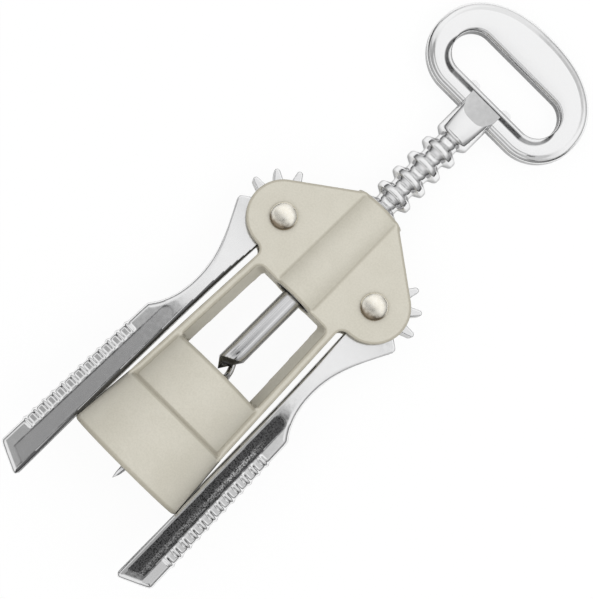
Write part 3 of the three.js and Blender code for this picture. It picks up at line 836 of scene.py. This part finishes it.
def shank_end():
    """The shank's slanted end, which is drawn down to a point beside the coil."""
    foot = SHANK_END - SHANK_END_SLANT
    points = [(-SHANK_POINT_SIDE, foot - SHANK_POINT_DROP + SHANK_END_SLANT / 2, SHANK_POINT_SIDE)]
    for x, z in circle(SHANK_RADIUS, TURNED_FACETS):
        points.append((x, foot + SHANK_END_SLANT * (1 + x / SHANK_RADIUS) / 2, z))
        points.append((x, foot + SHANK_END_SLANT + SHANK_RADIUS, z))
    return hull("shank_end", points)


def coil_centre(height):
    """The wire leaves the axis inside the shank, and comes back to it at the worm's point."""
    out = smooth_step(-(COIL_START + SHANK_END_RISE), -COIL_START, -height)
    turn = max(0, COIL_START - height) / COIL_PITCH
    taper = smooth_step(COIL_TAPER_FOOT, COIL_TAPER - WORM_REACH, height)
    x, z = polar(COIL_RADIUS * out * lerp(TIP_RADIUS_SHARE, 1, taper), COIL_PHASE + 360 * turn)
    return Vector((x, height, z))


def coil():
    top = COIL_START + SHANK_END_RISE
    steps = COIL_STEPS * math.ceil((top + WORM_REACH) / COIL_PITCH)
    step = COIL_PITCH / COIL_STEPS / 2
    rings = []
    for i in range(steps + 1):
        height = lerp(top, -WORM_REACH, i / steps)
        centre = coil_centre(height)
        along = (coil_centre(height - step) - coil_centre(height + step)).normalized()
        outward = Vector((centre.x, 0, centre.z)).normalized()
        sideways = along.cross(outward).normalized()
        across = sideways.cross(along)
        size = lerp(TIP_WIRE_SHARE, 1, min(1, (height + WORM_REACH) / POINT_LENGTH))
        ring = []
        for c, s in circle(1, WIRE_SIDES):
            ring.append(centre + across * size * WIRE_HALF_WIDTH * c + sideways * size * WIRE_HALF_HEIGHT * s)
        rings.append(ring)
    return lofted("coil", rings)


def in_shank_cut(face):
    return BELL_HEIGHT - SHANK_POINT_DROP < face.center.y < SHANK_END and face.normal.y < -CUT_LEAN


def worm(finish, shaded_cut_finish):
    shoulder = TAIL_FOOT - GAP
    foot = SHANK_END + SHANK_RADIUS / 2
    body = turned("worm", [
        (0, foot),
        (SHANK_RADIUS, foot),
        (SHANK_RADIUS, shoulder),
        (TANG_RADIUS, shoulder),
        (TANG_RADIUS, TANG_TOP),
        (0, TANG_TOP),
    ])
    fused(body, shank_end(), coil())
    smooth_shaded(body, WORM_CREASE)
    # Painted shade: the slanted cut at the shank's end takes the dark plating.
    cut = [int(in_shank_cut(face)) for face in body.data.polygons]
    shown(body, "worm_and_shank", "spindle", ["worm"], [finish, shaded_cut_finish], cut)


# Levers

def tooth(degrees):
    """A tooth with cut corners, pointing away from the pivot at an angle."""
    c, s = polar(1, degrees)
    corners = [
        (HUB_ROOT_RADIUS, TOOTH_BASE_HALF),
        (TOOTH_TIP_RADIUS - TOOTH_CORNER, TOOTH_TIP_HALF),
        (TOOTH_TIP_RADIUS, TOOTH_TIP_HALF - TOOTH_CORNER),
        (TOOTH_TIP_RADIUS, TOOTH_CORNER - TOOTH_TIP_HALF),
        (TOOTH_TIP_RADIUS - TOOTH_CORNER, -TOOTH_TIP_HALF),
        (HUB_ROOT_RADIUS, -TOOTH_BASE_HALF),
    ]
    return [Vector((along * c - aside * s, along * s + aside * c)) for along, aside in corners]


def lever_outline():
    """From the shoulder down the outside of the grip, up its inside and back over the teeth."""
    shoulder = polar(SHOULDER_RADIUS, SHOULDER_ANGLE)
    waist = Vector((WAIST_OUTER, -WAIST_DROP))
    corner, end = -GRIP_TOP, -GRIP_OUTER_FOOT
    side = bezier(
        shoulder,
        (lerp(shoulder.x, waist.x, SHOULDER_PULL[0]), lerp(shoulder.y, waist.y, SHOULDER_PULL[1])),
        (waist.x, lerp(shoulder.y, waist.y, WAIST_PULL)),
        waist,
    )
    root = polar(HUB_ROOT_RADIUS, SHOULDER_START_ANGLE)
    points = [root, shoulder.lerp(root, SHOULDER_ROUND)]
    turn_corner(points, shoulder, side[0])
    points += side[1:]
    points += bezier(
        waist,
        (waist.x, lerp(waist.y, corner, WAIST_FOOT_PULL)),
        (lerp(waist.x, GRIP_OUTER_TOP, GRIP_PULL[0]), lerp(waist.y, corner, GRIP_PULL[1])),
        (GRIP_OUTER_TOP - GRIP_CORNER / 4, corner),
    )
    turn_corner(points, (GRIP_OUTER_TOP, corner - GRIP_CORNER / 4), (GRIP_OUTER_TOP, corner - GRIP_CORNER))
    stations = math.ceil((corner - GRIP_CORNER - end) / EDGE_STATION)
    for i in range(1, stations + 1):
        drop = lerp(GRIP_TOP + GRIP_CORNER, -end, i / stations)
        points.append(Vector((grip_outer(drop) + RIB_PROUD * rib_crest(drop), -drop)))
    outer_end = (GRIP_OUTER_END - GRIP_CORNER, end - GRIP_CORNER)
    turn_corner(points, (GRIP_OUTER_END, end - GRIP_CORNER / 2), outer_end)
    points.append(Vector((GRIP_INNER_END + GRIP_CORNER, -LEVER_LENGTH)))
    turn_corner(points, (GRIP_INNER_END, -LEVER_LENGTH), (GRIP_INNER_END, GRIP_CORNER - LEVER_LENGTH))
    points.append(Vector((GRIP_INNER_TOP, corner)))
    arm_top = math.degrees(math.atan2(-HUB_ROOT_RADIUS, ARM_TOP_INNER))
    points += bezier(points[-1], (WAIST_INNER, -WAIST_DROP), polar(HUB_ROOT_RADIUS, arm_top))
    half_tooth = math.degrees(TOOTH_BASE_HALF / HUB_ROOT_RADIUS)
    first_tooth = 180 + TEETH_BELOW * TOOTH_ANGLE + half_tooth - 360
    for i in range(1, CURVE_STEPS):
        points.append(polar(HUB_ROOT_RADIUS, lerp(arm_top, first_tooth, i / CURVE_STEPS)))
    for k in range(-TEETH_BELOW, TEETH_OVER_TOP + 1):
        points += tooth(180 - k * TOOTH_ANGLE)
    return points


def grip_outer(drop):
    return lerp(GRIP_OUTER_TOP, GRIP_OUTER_END, (drop - GRIP_TOP) / (GRIP_OUTER_FOOT - GRIP_TOP))


def grip_inner(drop):
    return lerp(GRIP_INNER_TOP, GRIP_INNER_END, (drop - GRIP_TOP) / (LEVER_LENGTH - GRIP_TOP))


def rib_crest(drop):
    """One on the middle of a rib, and nothing between the ribs."""
    nearest = min(RIB_COUNT - 1, max(0, round((drop - RIB_START) / RIB_PITCH)))
    return 1 - smooth_step(0, RIB_HALF, abs(drop - RIB_START - nearest * RIB_PITCH))


def inside_panel(u, drop):
    """How far a place lies inside the edge of the panel, which has a round top and a slanted foot."""
    left, right = grip_inner(drop) + PANEL_RAIL, grip_outer(drop) - PANEL_BORDER
    half = (right - left) / 2
    foot = lerp(LEVER_LENGTH, GRIP_OUTER_FOOT, u / GRIP_OUTER_END) - PANEL_END_MARGIN
    below_round = drop - PANEL_TOP - half
    aside = u - (left + right) / 2
    if below_round < 0:
        return half - math.hypot(aside, below_round)
    return min(half - abs(aside), foot - drop)


def lever_depth(u, drop, edge):
    """Half the thickness of a lever at a place that lies so far from the edge of its outline."""
    grown = smooth_step(ARM_DEPTH_START / 2, ARM_DEPTH_FULL, drop)
    crowned = smooth_step(ARM_DEPTH_START / 2, ARM_DEPTH_START * 2, drop)
    reach = lerp(EDGE_REACH_HUB, EDGE_REACH, crowned)
    lack = 1 - min(1, edge / reach)
    depth = lerp(HUB_DEPTH, GRIP_DEPTH, grown)
    depth -= EDGE_FALL * reach / EDGE_REACH * (1 - math.sqrt(1 - lack * lack))
    if drop < PANEL_TOP:
        return depth
    depth -= PANEL_DEPTH * smooth_step(0, PANEL_EASING, inside_panel(u, drop))
    across = (u - grip_outer(drop) + PANEL_BORDER) / PANEL_BORDER
    depth -= BORDER_FALL * max(0, across)
    if 0 < across < 1:
        crest = rib_crest(drop)
        depth += RIB_PROUD * crest * min(1, across * RIB_RUN_IN)
        if RIB_START < drop < RIB_START + (RIB_COUNT - 1) * RIB_PITCH:
            depth -= CELL_DISH * (1 - crest) * math.sin(math.pi * across)
    return depth


def relieved(body, outline):
    """Gives the faces of a plain blank their crowned edges, sunk panel and ribs."""
    samples = []
    for a, b in zip(outline, outline[1:] + outline[:1]):
        count = max(1, math.ceil((b - a).length / EDGE_STATION))
        samples += [a.lerp(b, i / count) for i in range(count)]
    tree = KDTree(len(samples))
    for i, point in enumerate(samples):
        tree.insert((point.x, point.y, 0), i)
    tree.balance()
    for vertex in body.data.vertices:
        u, v, z = vertex.co
        edge = tree.find((u, v, 0))[2]
        vertex.co.z = z / GRIP_DEPTH * lever_depth(u, -v, edge)


def skirt_relief():
    """The skirt with the room that the levers leave round it."""
    rim, top = RIM_RADIUS + LEVER_GAP, SKIRT_TOP_RADIUS + LEVER_GAP
    return turned("skirt_relief", [
        (0, -LEVER_LENGTH),
        (rim, -LEVER_LENGTH),
        (rim, RIM_ROUNDING),
        (top, SKIRT_HEIGHT),
        (top, SKIRT_HEIGHT + OVERRUN),
        (0, SKIRT_HEIGHT + OVERRUN),
    ])


def lever_part(face):
    """Which finish a face of a lever has: 0 is bright, 1 the panel's and 2 the dark plating that paints shade
    on the side by the bell.
    """
    x = face.center.x
    u, drop = abs(x) - PIVOT_REACH, PIVOT_HEIGHT - face.center.y
    towards_bell = -math.copysign(face.normal.x, face.normal.x * x)
    # The painted shade reaches round more of the left lever's side than of the right's.
    lean = SHADE_LEAN_RIGHT if x > 0 else SHADE_LEAN_LEFT
    if drop > LOBE_RADIUS and u < grip_inner(drop) + SHADE_REACH and towards_bell > lean:
        return 2
    return int(inside_panel(u, drop) > PANEL_EASING / 2)


def lever(side, finishes):
    """Its finishes are those of the faces, of the panel in its tone of painted shade, and the painted shade
    of the side by the bell.
    """
    outline = lever_outline()
    blank = cast(slab("lever", outline, -GRIP_DEPTH, GRIP_DEPTH), CHROME_GRAIN, CHROME_PASSES)
    relieved(blank, outline)
    blank.data.transform(Matrix.Translation((PIVOT_REACH, PIVOT_HEIGHT, 0)))
    hole = cross_bar("pivot_hole", RIVET_RADIUS + GAP, GRIP_DEPTH + OVERRUN, PIVOT_REACH, PIVOT_HEIGHT)
    carved(blank, hole, skirt_relief())
    if side < 0:
        blank.data.transform(Matrix.Scale(-1, 4, (1, 0, 0)))
        blank.data.flip_normals()
    smooth_shaded(blank, CREASE)
    parts = [lever_part(face) for face in blank.data.polygons]
    name = "right" if side > 0 else "left"
    shown(blank, f"{name}_lever", f"lever_{name}", [f"lever_{name}"], finishes, parts)


# Finishes

class Value:
    """A socket that takes part in sums."""

    def __init__(self, recipe, socket):
        self.recipe, self.socket = recipe, socket

    def maths(self, operation, *others):
        inputs = dict(enumerate((self, *others)))
        return self.recipe.node("Math", inputs, operation=operation)

    def __add__(self, other):
        return self.maths("ADD", other)

    def __sub__(self, other):
        return self.maths("SUBTRACT", other)

    def __mul__(self, other):
        return self.maths("MULTIPLY", other)

    def __pow__(self, other):
        return self.maths("POWER", other)

    def __rsub__(self, other):
        return self.recipe.node("Math", {0: other, 1: self}, operation="SUBTRACT")

    __radd__ = __add__
    __rmul__ = __mul__

    def between(self, low, high, start=0.0, end=1.0):
        """Start below low, end above high, and a smooth step from one to the other."""
        inputs = {"Value": self, "From Min": low, "From Max": high, "To Min": start, "To Max": end}
        return self.recipe.node("MapRange", inputs, interpolation_type="SMOOTHSTEP")


class Recipe:
    """The nodes of one finish, or of the room."""

    def __init__(self, owner):
        owner.use_nodes = True
        self.owner, self.tree = owner, owner.node_tree
        self.tree.nodes.clear()

    def node(self, kind, inputs=None, output=0, **settings):
        made = self.tree.nodes.new("ShaderNode" + kind)
        for name, value in settings.items():
            setattr(made, name, value)
        for name, value in (inputs or {}).items():
            if isinstance(value, Value):
                self.tree.links.new(value.socket, made.inputs[name])
            else:
                made.inputs[name].default_value = value
        return Value(self, made.outputs[output]) if made.outputs else None

    def noise(self, where, scale, detail=2.0, roughness=0.5):
        inputs = {"Vector": where, "Scale": scale, "Detail": detail, "Roughness": roughness}
        return self.node("TexNoise", inputs)

    def blend(self, share, first, second):
        """A colour between two, by a share."""
        inputs = {0: share, 6: first, 7: second}
        return self.node("Mix", inputs, 2, data_type="RGBA")

    def place(self):
        """Place on the piece, in millimetres along the corkscrew's own axes."""
        where = self.node("TexCoord", None, "Object")
        where = self.node("VectorMath", {0: where, 1: rim_centre}, operation="SUBTRACT")
        where = self.node("VectorRotate", {"Vector": where, "Angle": dip}, rotation_type="X_AXIS")
        return self.node("VectorMath", {0: where, "Scale": 1 / MILLIMETRE}, operation="SCALE")

    def stretched(self, where, x, y, z):
        return self.node("VectorMath", {0: where, 1: (x, y, z)}, operation="MULTIPLY")

    def parts(self, vector, axes):
        return (self.node("SeparateXYZ", {0: vector}, axis) for axis in axes)

    def lift(self):
        """One where the piece faces straight up or down, and nothing on its flanks."""
        facing = self.node("TexCoord", None, "Normal")
        return self.node("SeparateXYZ", {0: facing}, "Z").maths("ABSOLUTE")

    def ray(self, kind):
        return self.node("LightPath", None, f"Is {kind} Ray")

    def surface(self, shader):
        self.node("OutputMaterial", {"Surface": shader})
        return self.owner

    def finish(self, base, roughness, height, strength, distance, **others):
        """Ends a finish with its colour, its roughness and a bump that follows a height."""
        bump = self.node("Bump", {"Height": height, "Strength": strength, "Distance": distance})
        inputs = {"Base Color": base, "Roughness": roughness, "Normal": bump, **others}
        return self.surface(self.node("BsdfPrincipled", inputs))


def new_finish(name):
    return Recipe(bpy.data.materials.new(name))


ENAMEL = (0.552, 0.527, 0.447, 1)
ENAMEL_PATCH = (0.572, 0.547, 0.468, 1)
ENAMEL_PALE_GRAIN = (0.62, 0.59, 0.505, 1)
ENAMEL_DARK_GRAIN = (0.49, 0.465, 0.385, 1)
# Painted shade for the enamel's corners and edges
ENAMEL_CORNER_SHADE = (0.24, 0.21, 0.145, 1)
ENAMEL_EDGE_SHADE = (0.28, 0.25, 0.18, 1)
BRIGHT_CHROME = (0.865, 0.865, 0.868, 1)
# Painted shade for the plating's flanks
CHROME_FLANK_SHADE = (0.22, 0.22, 0.222, 1)
# Two tones of painted shade for the levers' sunk panels
SUNK_CHROME_LIGHT_SHADE = (0.72, 0.72, 0.723, 1)
PITTED_CHROME_DARK_SHADE = (0.14, 0.14, 0.142, 1)
# Dark plating that paints shade
PAINTED_SHADE_CHROME = (0.17, 0.17, 0.172, 1)
CHROME_PIT = (0.05, 0.05, 0.052, 1)
# Painted highlight streak on the dark panel
STREAK_HIGHLIGHT_CHROME = (0.7, 0.7, 0.702, 1)
NICKEL = (0.94, 0.90, 0.80, 1)
NICKEL_PATCH = (0.98, 0.95, 0.87, 1)
# Painted shade for the rivet domes' lower side
NICKEL_SIDE_SHADE = (0.27, 0.22, 0.16, 1)
STEEL = (0.7, 0.7, 0.71, 1)
STEEL_LINE = (0.96, 0.96, 0.97, 1)
# Painted shade for the worm's flanks
STEEL_FLANK_SHADE = (0.2, 0.2, 0.205, 1)
BUSH_STEEL = (0.50, 0.50, 0.51, 1)
BUSH_STEEL_LINE = (0.60, 0.60, 0.61, 1)
# The side of a dome that the painted shade falls on
SHADED_DOME_SIDE = (0.3, -0.95, 0)
# Where the painted highlight streak runs down the panel
STREAK_FOOT = Vector((21.6, 4.0))
STREAK_TOP = 22.0
STREAK_FADE = 9
STREAK_LEAN = 0.03
STREAK_WANDER = 2.2


def beige_paint():
    """Satin enamel over a casting: soft mottling and fine orange peel, with painted shade on edges and in
    corners.
    """
    r = new_finish("beige_enamel")
    where = r.place()
    mottle = r.noise(where, 0.16, 3.0)
    grain = r.noise(where, 2.2, 4.0, 0.6)
    turn = r.node("Attribute", None, "Fac", attribute_name="turn")
    base = r.blend(mottle.between(0.35, 0.65), ENAMEL, ENAMEL_PATCH)
    base = r.blend(grain.between(0.4, 0.7) * 0.45, base, ENAMEL_PALE_GRAIN)
    base = r.blend(grain.between(0.55, 0.35) * 0.25, base, ENAMEL_DARK_GRAIN)
    # Painted shade: the enamel is darkened in corners and on edges.
    base = r.blend(turn.between(-0.1, -0.4) * 0.48, base, ENAMEL_CORNER_SHADE)
    base = r.blend(turn.between(0.12, 0.45) * 0.5, base, ENAMEL_EDGE_SHADE)
    return r.finish(base, grain.between(0.3, 0.7, 0.40, 0.52), grain, 0.12, 0.0002)


def chrome(name, tone, pitted=0.0, shaded_flanks=0.0):
    """Plating on a casting, with the casting's faint waves showing through."""
    r = new_finish(name)
    where = r.place()
    waves = r.noise(where, 0.35)
    haze = r.noise(where, 0.9, 3.0)
    base, height = tone, waves * 0.3 + haze * 0.02
    roughness = haze.between(0.3, 0.75, 0.12, 0.19)
    # Painted shade: the plating is darkened where it faces sideways.
    if shaded_flanks:
        base = r.blend(r.lift().between(0.5, 0.1) * shaded_flanks, tone, CHROME_FLANK_SHADE)
    if pitted:
        pit = r.noise(where, 2.6, 4.0, 0.7).between(0.47, 0.66)
        base = r.blend(pit * pitted, tone, CHROME_PIT)
        # Painted highlight: a ragged bright streak down the panel.
        base = r.blend(painted_highlight_streak(r, where), base, STREAK_HIGHLIGHT_CHROME)
        height = height - pit * 0.5 * pitted
        roughness = roughness + pit * 0.2
    return r.finish(base, roughness, height, 0.25, 0.0003, Metallic=1.0)


def painted_highlight_streak(r, where):
    """A ragged bright line down the middle of the lever's sunk face, as a painted highlight."""
    x, y = r.parts(where, "XY")
    ragged = r.noise(r.stretched(where, 1.6, 0.5, 0), 1.0, 4.0, 0.7)
    middle = (STREAK_FOOT.x - x) - (y - STREAK_FOOT.y) * STREAK_LEAN
    off = (middle + ragged * STREAK_WANDER - STREAK_WANDER / 2).maths("ABSOLUTE")
    strong = y.between(STREAK_FOOT.y, STREAK_TOP, 0.4, 1.0)
    strong = strong * (1 - y.between(STREAK_TOP, STREAK_TOP + STREAK_FADE))
    return (1 - off.between(0.1, 0.9)) * strong * ragged.between(0.35, 0.5)


def rivet_nickel():
    """Warm nickel dome with faint scratches, and painted shade along its lower side."""
    r = new_finish("warm_nickel")
    where = r.place()
    haze = r.noise(where, 1.3, 4.0)
    scratch = r.noise(r.stretched(where, 9, 0.8, 3), 1.0)
    facing = r.node("TexCoord", None, "Normal")
    lean = r.node("VectorMath", {0: facing, 1: SHADED_DOME_SIDE}, 1, operation="DOT_PRODUCT")
    # Painted shade: the dome is darkened on its lower side.
    dome_side_shade = (lean + haze * 0.3 - 0.15).between(-0.02, 0.36)
    base = r.blend(haze.between(0.35, 0.7), NICKEL, NICKEL_PATCH)
    base = r.blend(dome_side_shade, base, NICKEL_SIDE_SHADE)
    return r.finish(base, scratch.between(0.3, 0.7, 0.24, 0.32), scratch, 0.02, 0.00003, Metallic=1.0)


def worm_steel():
    """Polished steel with drawing marks along the shank, with painted shade on its flanks."""
    r = new_finish("drawn_steel")
    where = r.place()
    lines = r.noise(r.stretched(where, 1.5, 0.01, 1.5), 1.0)
    base = r.blend(lines.between(0.35, 0.65), STEEL, STEEL_LINE)
    # Painted shade on the flanks.
    base = r.blend(r.lift().between(0.78, 0.5) * 0.8, base, STEEL_FLANK_SHADE)
    return r.finish(base, lines.between(0.3, 0.7, 0.12, 0.20), lines, 0.05, 0.0001, Metallic=1.0)


def bush_steel():
    """Plain turned steel with the tool's rings."""
    r = new_finish("turned_steel")
    where = r.place()
    rings = r.noise(r.stretched(where, 0.2, 5, 0.2), 1.0)
    base = r.blend(rings.between(0.3, 0.7), BUSH_STEEL, BUSH_STEEL_LINE)
    return r.finish(base, rings.between(0.3, 0.7, 0.25, 0.4), rings, 0.2, 0.0001, Metallic=1.0)


def worm_pin(finish):
    """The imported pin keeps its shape."""
    pin = frame["nodes"]["worm_pin"]
    pin.data.materials.clear()
    pin.data.materials.append(finish)


# Table and room, in metres

TABLE_HALF = 0.9
TABLE_GAP = 0.00002
TABLE_TONE = (0.93, 0.93, 0.93, 1)
TABLE_GLOW = 0.45
TABLE_GLOW_SEEN = 0.48
TABLE_GLOW_LOST = 0.4
CARD_HEIGHT = 0.75
CARD_HALF = 0.85
CARD_FADE = (0.7, 0.85)
BAND_FOOT = (-0.26, -0.16)
BAND_TOP = (0.085, 0.13)
BAND_SIDES = (-0.04, 0.04)
CEILING_RISE = (0.2, 0.34)
CAMERA_SPOT_X = 0.09
CAMERA_SPOT = (0.08, 0.13)
SCREEN_RADIUS = 0.8
SCREEN_HEIGHT = 0.75
SCREEN_FOOT = -0.1
SCREEN_SIDES = 64
SCREEN_GREY = (0.10, 0.28)
SCREEN_LOW_END = (0.18, 0.36)
SCREEN_TALL_END = (0.56, 0.74)
SCREEN_BEHIND = (0.35, 0.65)
SCREEN_PALE_SIDE = (-0.05, 0.0)
STAND_PLACE = Vector((0.42, -0.24, 0.46))
STAND_HALF = (0.07, 0.16)
STAND_TONE = (0.03, 0.03, 0.03, 1)
LAMP_PLACE = Vector((0.30, 0.22, 0.60))
LAMP_WIDTH = 0.3
LAMP_WATTS = 0.5


def rectangle(name, across, up, height):
    corners = [(-across, -up, height), (across, -up, height), (across, up, height), (-across, up, height)]
    return solid(name, corners, [(0, 1, 2, 3)])


def table():
    """Matt white that glows where the camera sees it, and hardly where metal mirrors it."""
    r = new_finish("white_table")
    matt = r.node("BsdfDiffuse", {"Color": TABLE_TONE})
    glow = r.node("Emission")
    share = r.ray("Camera") * TABLE_GLOW_SEEN + TABLE_GLOW - r.ray("Glossy") * TABLE_GLOW_LOST
    floor = rectangle("table", TABLE_HALF, TABLE_HALF, -TABLE_GAP)
    floor.data.materials.append(r.surface(r.node("MixShader", {0: share, 1: matt, 2: glow})))


def studio_card(made, shade):
    """A card that only the bright metal sees. It holds off no light and is never in the picture."""
    r = new_finish(made.name)
    x, y, z = r.parts(r.node("TexCoord", None, "Object"), "XYZ")
    tone, cover = shade(x, y, z)
    card = r.node("Emission", {"Color": tone})
    mixed = r.node("MixShader", {0: cover, 1: r.node("BsdfTransparent"), 2: card})
    made.data.materials.append(r.surface(mixed))
    made.visible_camera = made.visible_diffuse = made.visible_shadow = False


def overhead_card():
    """The dark of the camera overhead and a grey band, in a pale ceiling."""
    def shade(x, y, z):
        band = y.between(*BAND_FOOT) * (1 - y.between(*BAND_TOP))
        out = (x * x + y * y) ** 0.5
        tone = y.between(*CEILING_RISE, 0.86, 1.0) - band * x.between(*BAND_SIDES, 0.50, 0.28)
        from_camera = ((x - CAMERA_SPOT_X) * (x - CAMERA_SPOT_X) + y * y) ** 0.5
        return tone * from_camera.between(*CAMERA_SPOT, 0.08, 1.0), 1 - out.between(*CARD_FADE)

    studio_card(rectangle("overhead_card", CARD_HALF, CARD_HALF, CARD_HEIGHT), shade)


def table_edge_screen():
    """The darker room beyond the edge of the table, grey to half height behind the handle."""
    def shade(x, y, z):
        behind = y.between(*SCREEN_BEHIND)
        grey = z.between(*SCREEN_GREY, 0.01, 0.56)
        grey = grey + behind * (1 - x.between(*SCREEN_PALE_SIDE)) * 0.3
        low, tall = 1 - z.between(*SCREEN_LOW_END), 1 - z.between(*SCREEN_TALL_END)
        return grey, low + behind * (tall - low)

    points, faces = [], []
    for i, (x, y) in enumerate(circle(SCREEN_RADIUS, SCREEN_SIDES)):
        points += [(x, y, SCREEN_FOOT), (x, y, SCREEN_HEIGHT)]
        a, b = 2 * i, 2 * ((i + 1) % SCREEN_SIDES)
        faces.append((a, b, b + 1, a + 1))
    studio_card(solid("table_edge_screen", points, faces), shade)


def dark_stand():
    """A narrow dark stand beside the camera."""
    made = rectangle("dark_stand", *STAND_HALF, 0)
    studio_card(made, lambda x, y, z: (STAND_TONE, 1.0))
    made.location = STAND_PLACE
    made.rotation_euler = STAND_PLACE.to_track_quat("Z", "Y").to_euler()


def room():
    """A tent brightest overhead: plain white in the picture, and darker low down where metal mirrors it."""
    world = bpy.data.worlds.new("white_tent")
    bpy.context.scene.world = world
    r = Recipe(world)
    seen = r.ray("Camera")
    mirrored = r.ray("Glossy") + r.ray("Transmission")
    side, lift = r.parts(r.node("TexCoord", None, "Generated"), "XZ")
    light = lift.between(0.0, 1.0, 0.06, 1.44)
    shaded_side = side.between(0.3, 0.8) * (1 - lift.between(0.55, 0.85)) * 0.2
    mirror_image = lift.between(0.1, 0.8, 0.15, 1.0) - shaded_side
    level = light * (1 - seen - mirrored) + seen + mirrored * mirror_image
    shade = r.node("Background", {"Color": level})
    r.node("OutputWorld", {"Surface": shade})


def key_lamp():
    lamp = bpy.data.lights.new("window_light", "AREA")
    lamp.shape = "DISK"
    lamp.size = LAMP_WIDTH
    lamp.energy = LAMP_WATTS
    made = bpy.data.objects.new("window_light", lamp)
    bpy.context.scene.collection.objects.link(made)
    made.visible_glossy = False
    made.location = LAMP_PLACE
    made.rotation_euler = (-LAMP_PLACE).to_track_quat("-Z", "Y").to_euler()


# The camera looks straight down, turned so that the spindle runs up to the right

VIEW_TARGET = Vector((0.001, -0.007, 0.0123))
VIEW_DISTANCE = 0.468
VIEW_TURN = 45
LENS = 108.2
SENSOR_WIDTH = 36


def camera():
    made = bpy.data.objects.new("camera", bpy.data.cameras.new("camera"))
    bpy.context.scene.collection.objects.link(made)
    made.data.lens = LENS
    made.data.sensor_width = SENSOR_WIDTH
    made.location = VIEW_TARGET + Vector((0, 0, VIEW_DISTANCE))
    made.rotation_euler = (0, 0, math.radians(VIEW_TURN))
    bpy.context.scene.camera = made


plating = chrome("bright_plating", BRIGHT_CHROME, shaded_flanks=0.85)
# The levers' sunk panels share one finish, painted with shade in two tones: lightly darkened on the left,
# dark on the right.
lightly_shaded_sunk_plating = chrome("lightly_shaded_sunk_plating", SUNK_CHROME_LIGHT_SHADE)
darkly_shaded_pitted_plating = chrome("darkly_shaded_pitted_plating", PITTED_CHROME_DARK_SHADE, pitted=0.6)
# A dark plating that paints shade on the frame's bore, the handle's slot wall, the rack's tail, the shank's
# cut end and the levers' sides by the bell.
painted_shade_plating = chrome("painted_shade_plating", PAINTED_SHADE_CHROME)
steel = worm_steel()
frame_casting(beige_paint(), painted_shade_plating)
nickel = rivet_nickel()
for side in (-1, 1):
    rivet(side, nickel)
guide_bush(bush_steel())
handle_casting(plating, painted_shade_plating)
worm(steel, painted_shade_plating)
lever(-1, [plating, lightly_shaded_sunk_plating, painted_shade_plating])
lever(1, [plating, darkly_shaded_pitted_plating, painted_shade_plating])
worm_pin(steel)

table()
room()
overhead_card()
table_edge_screen()
dark_stand()
key_lamp()
camera()
bpy.context.scene.view_settings.view_transform = "Standard"

bpy.context.view_layer.update()
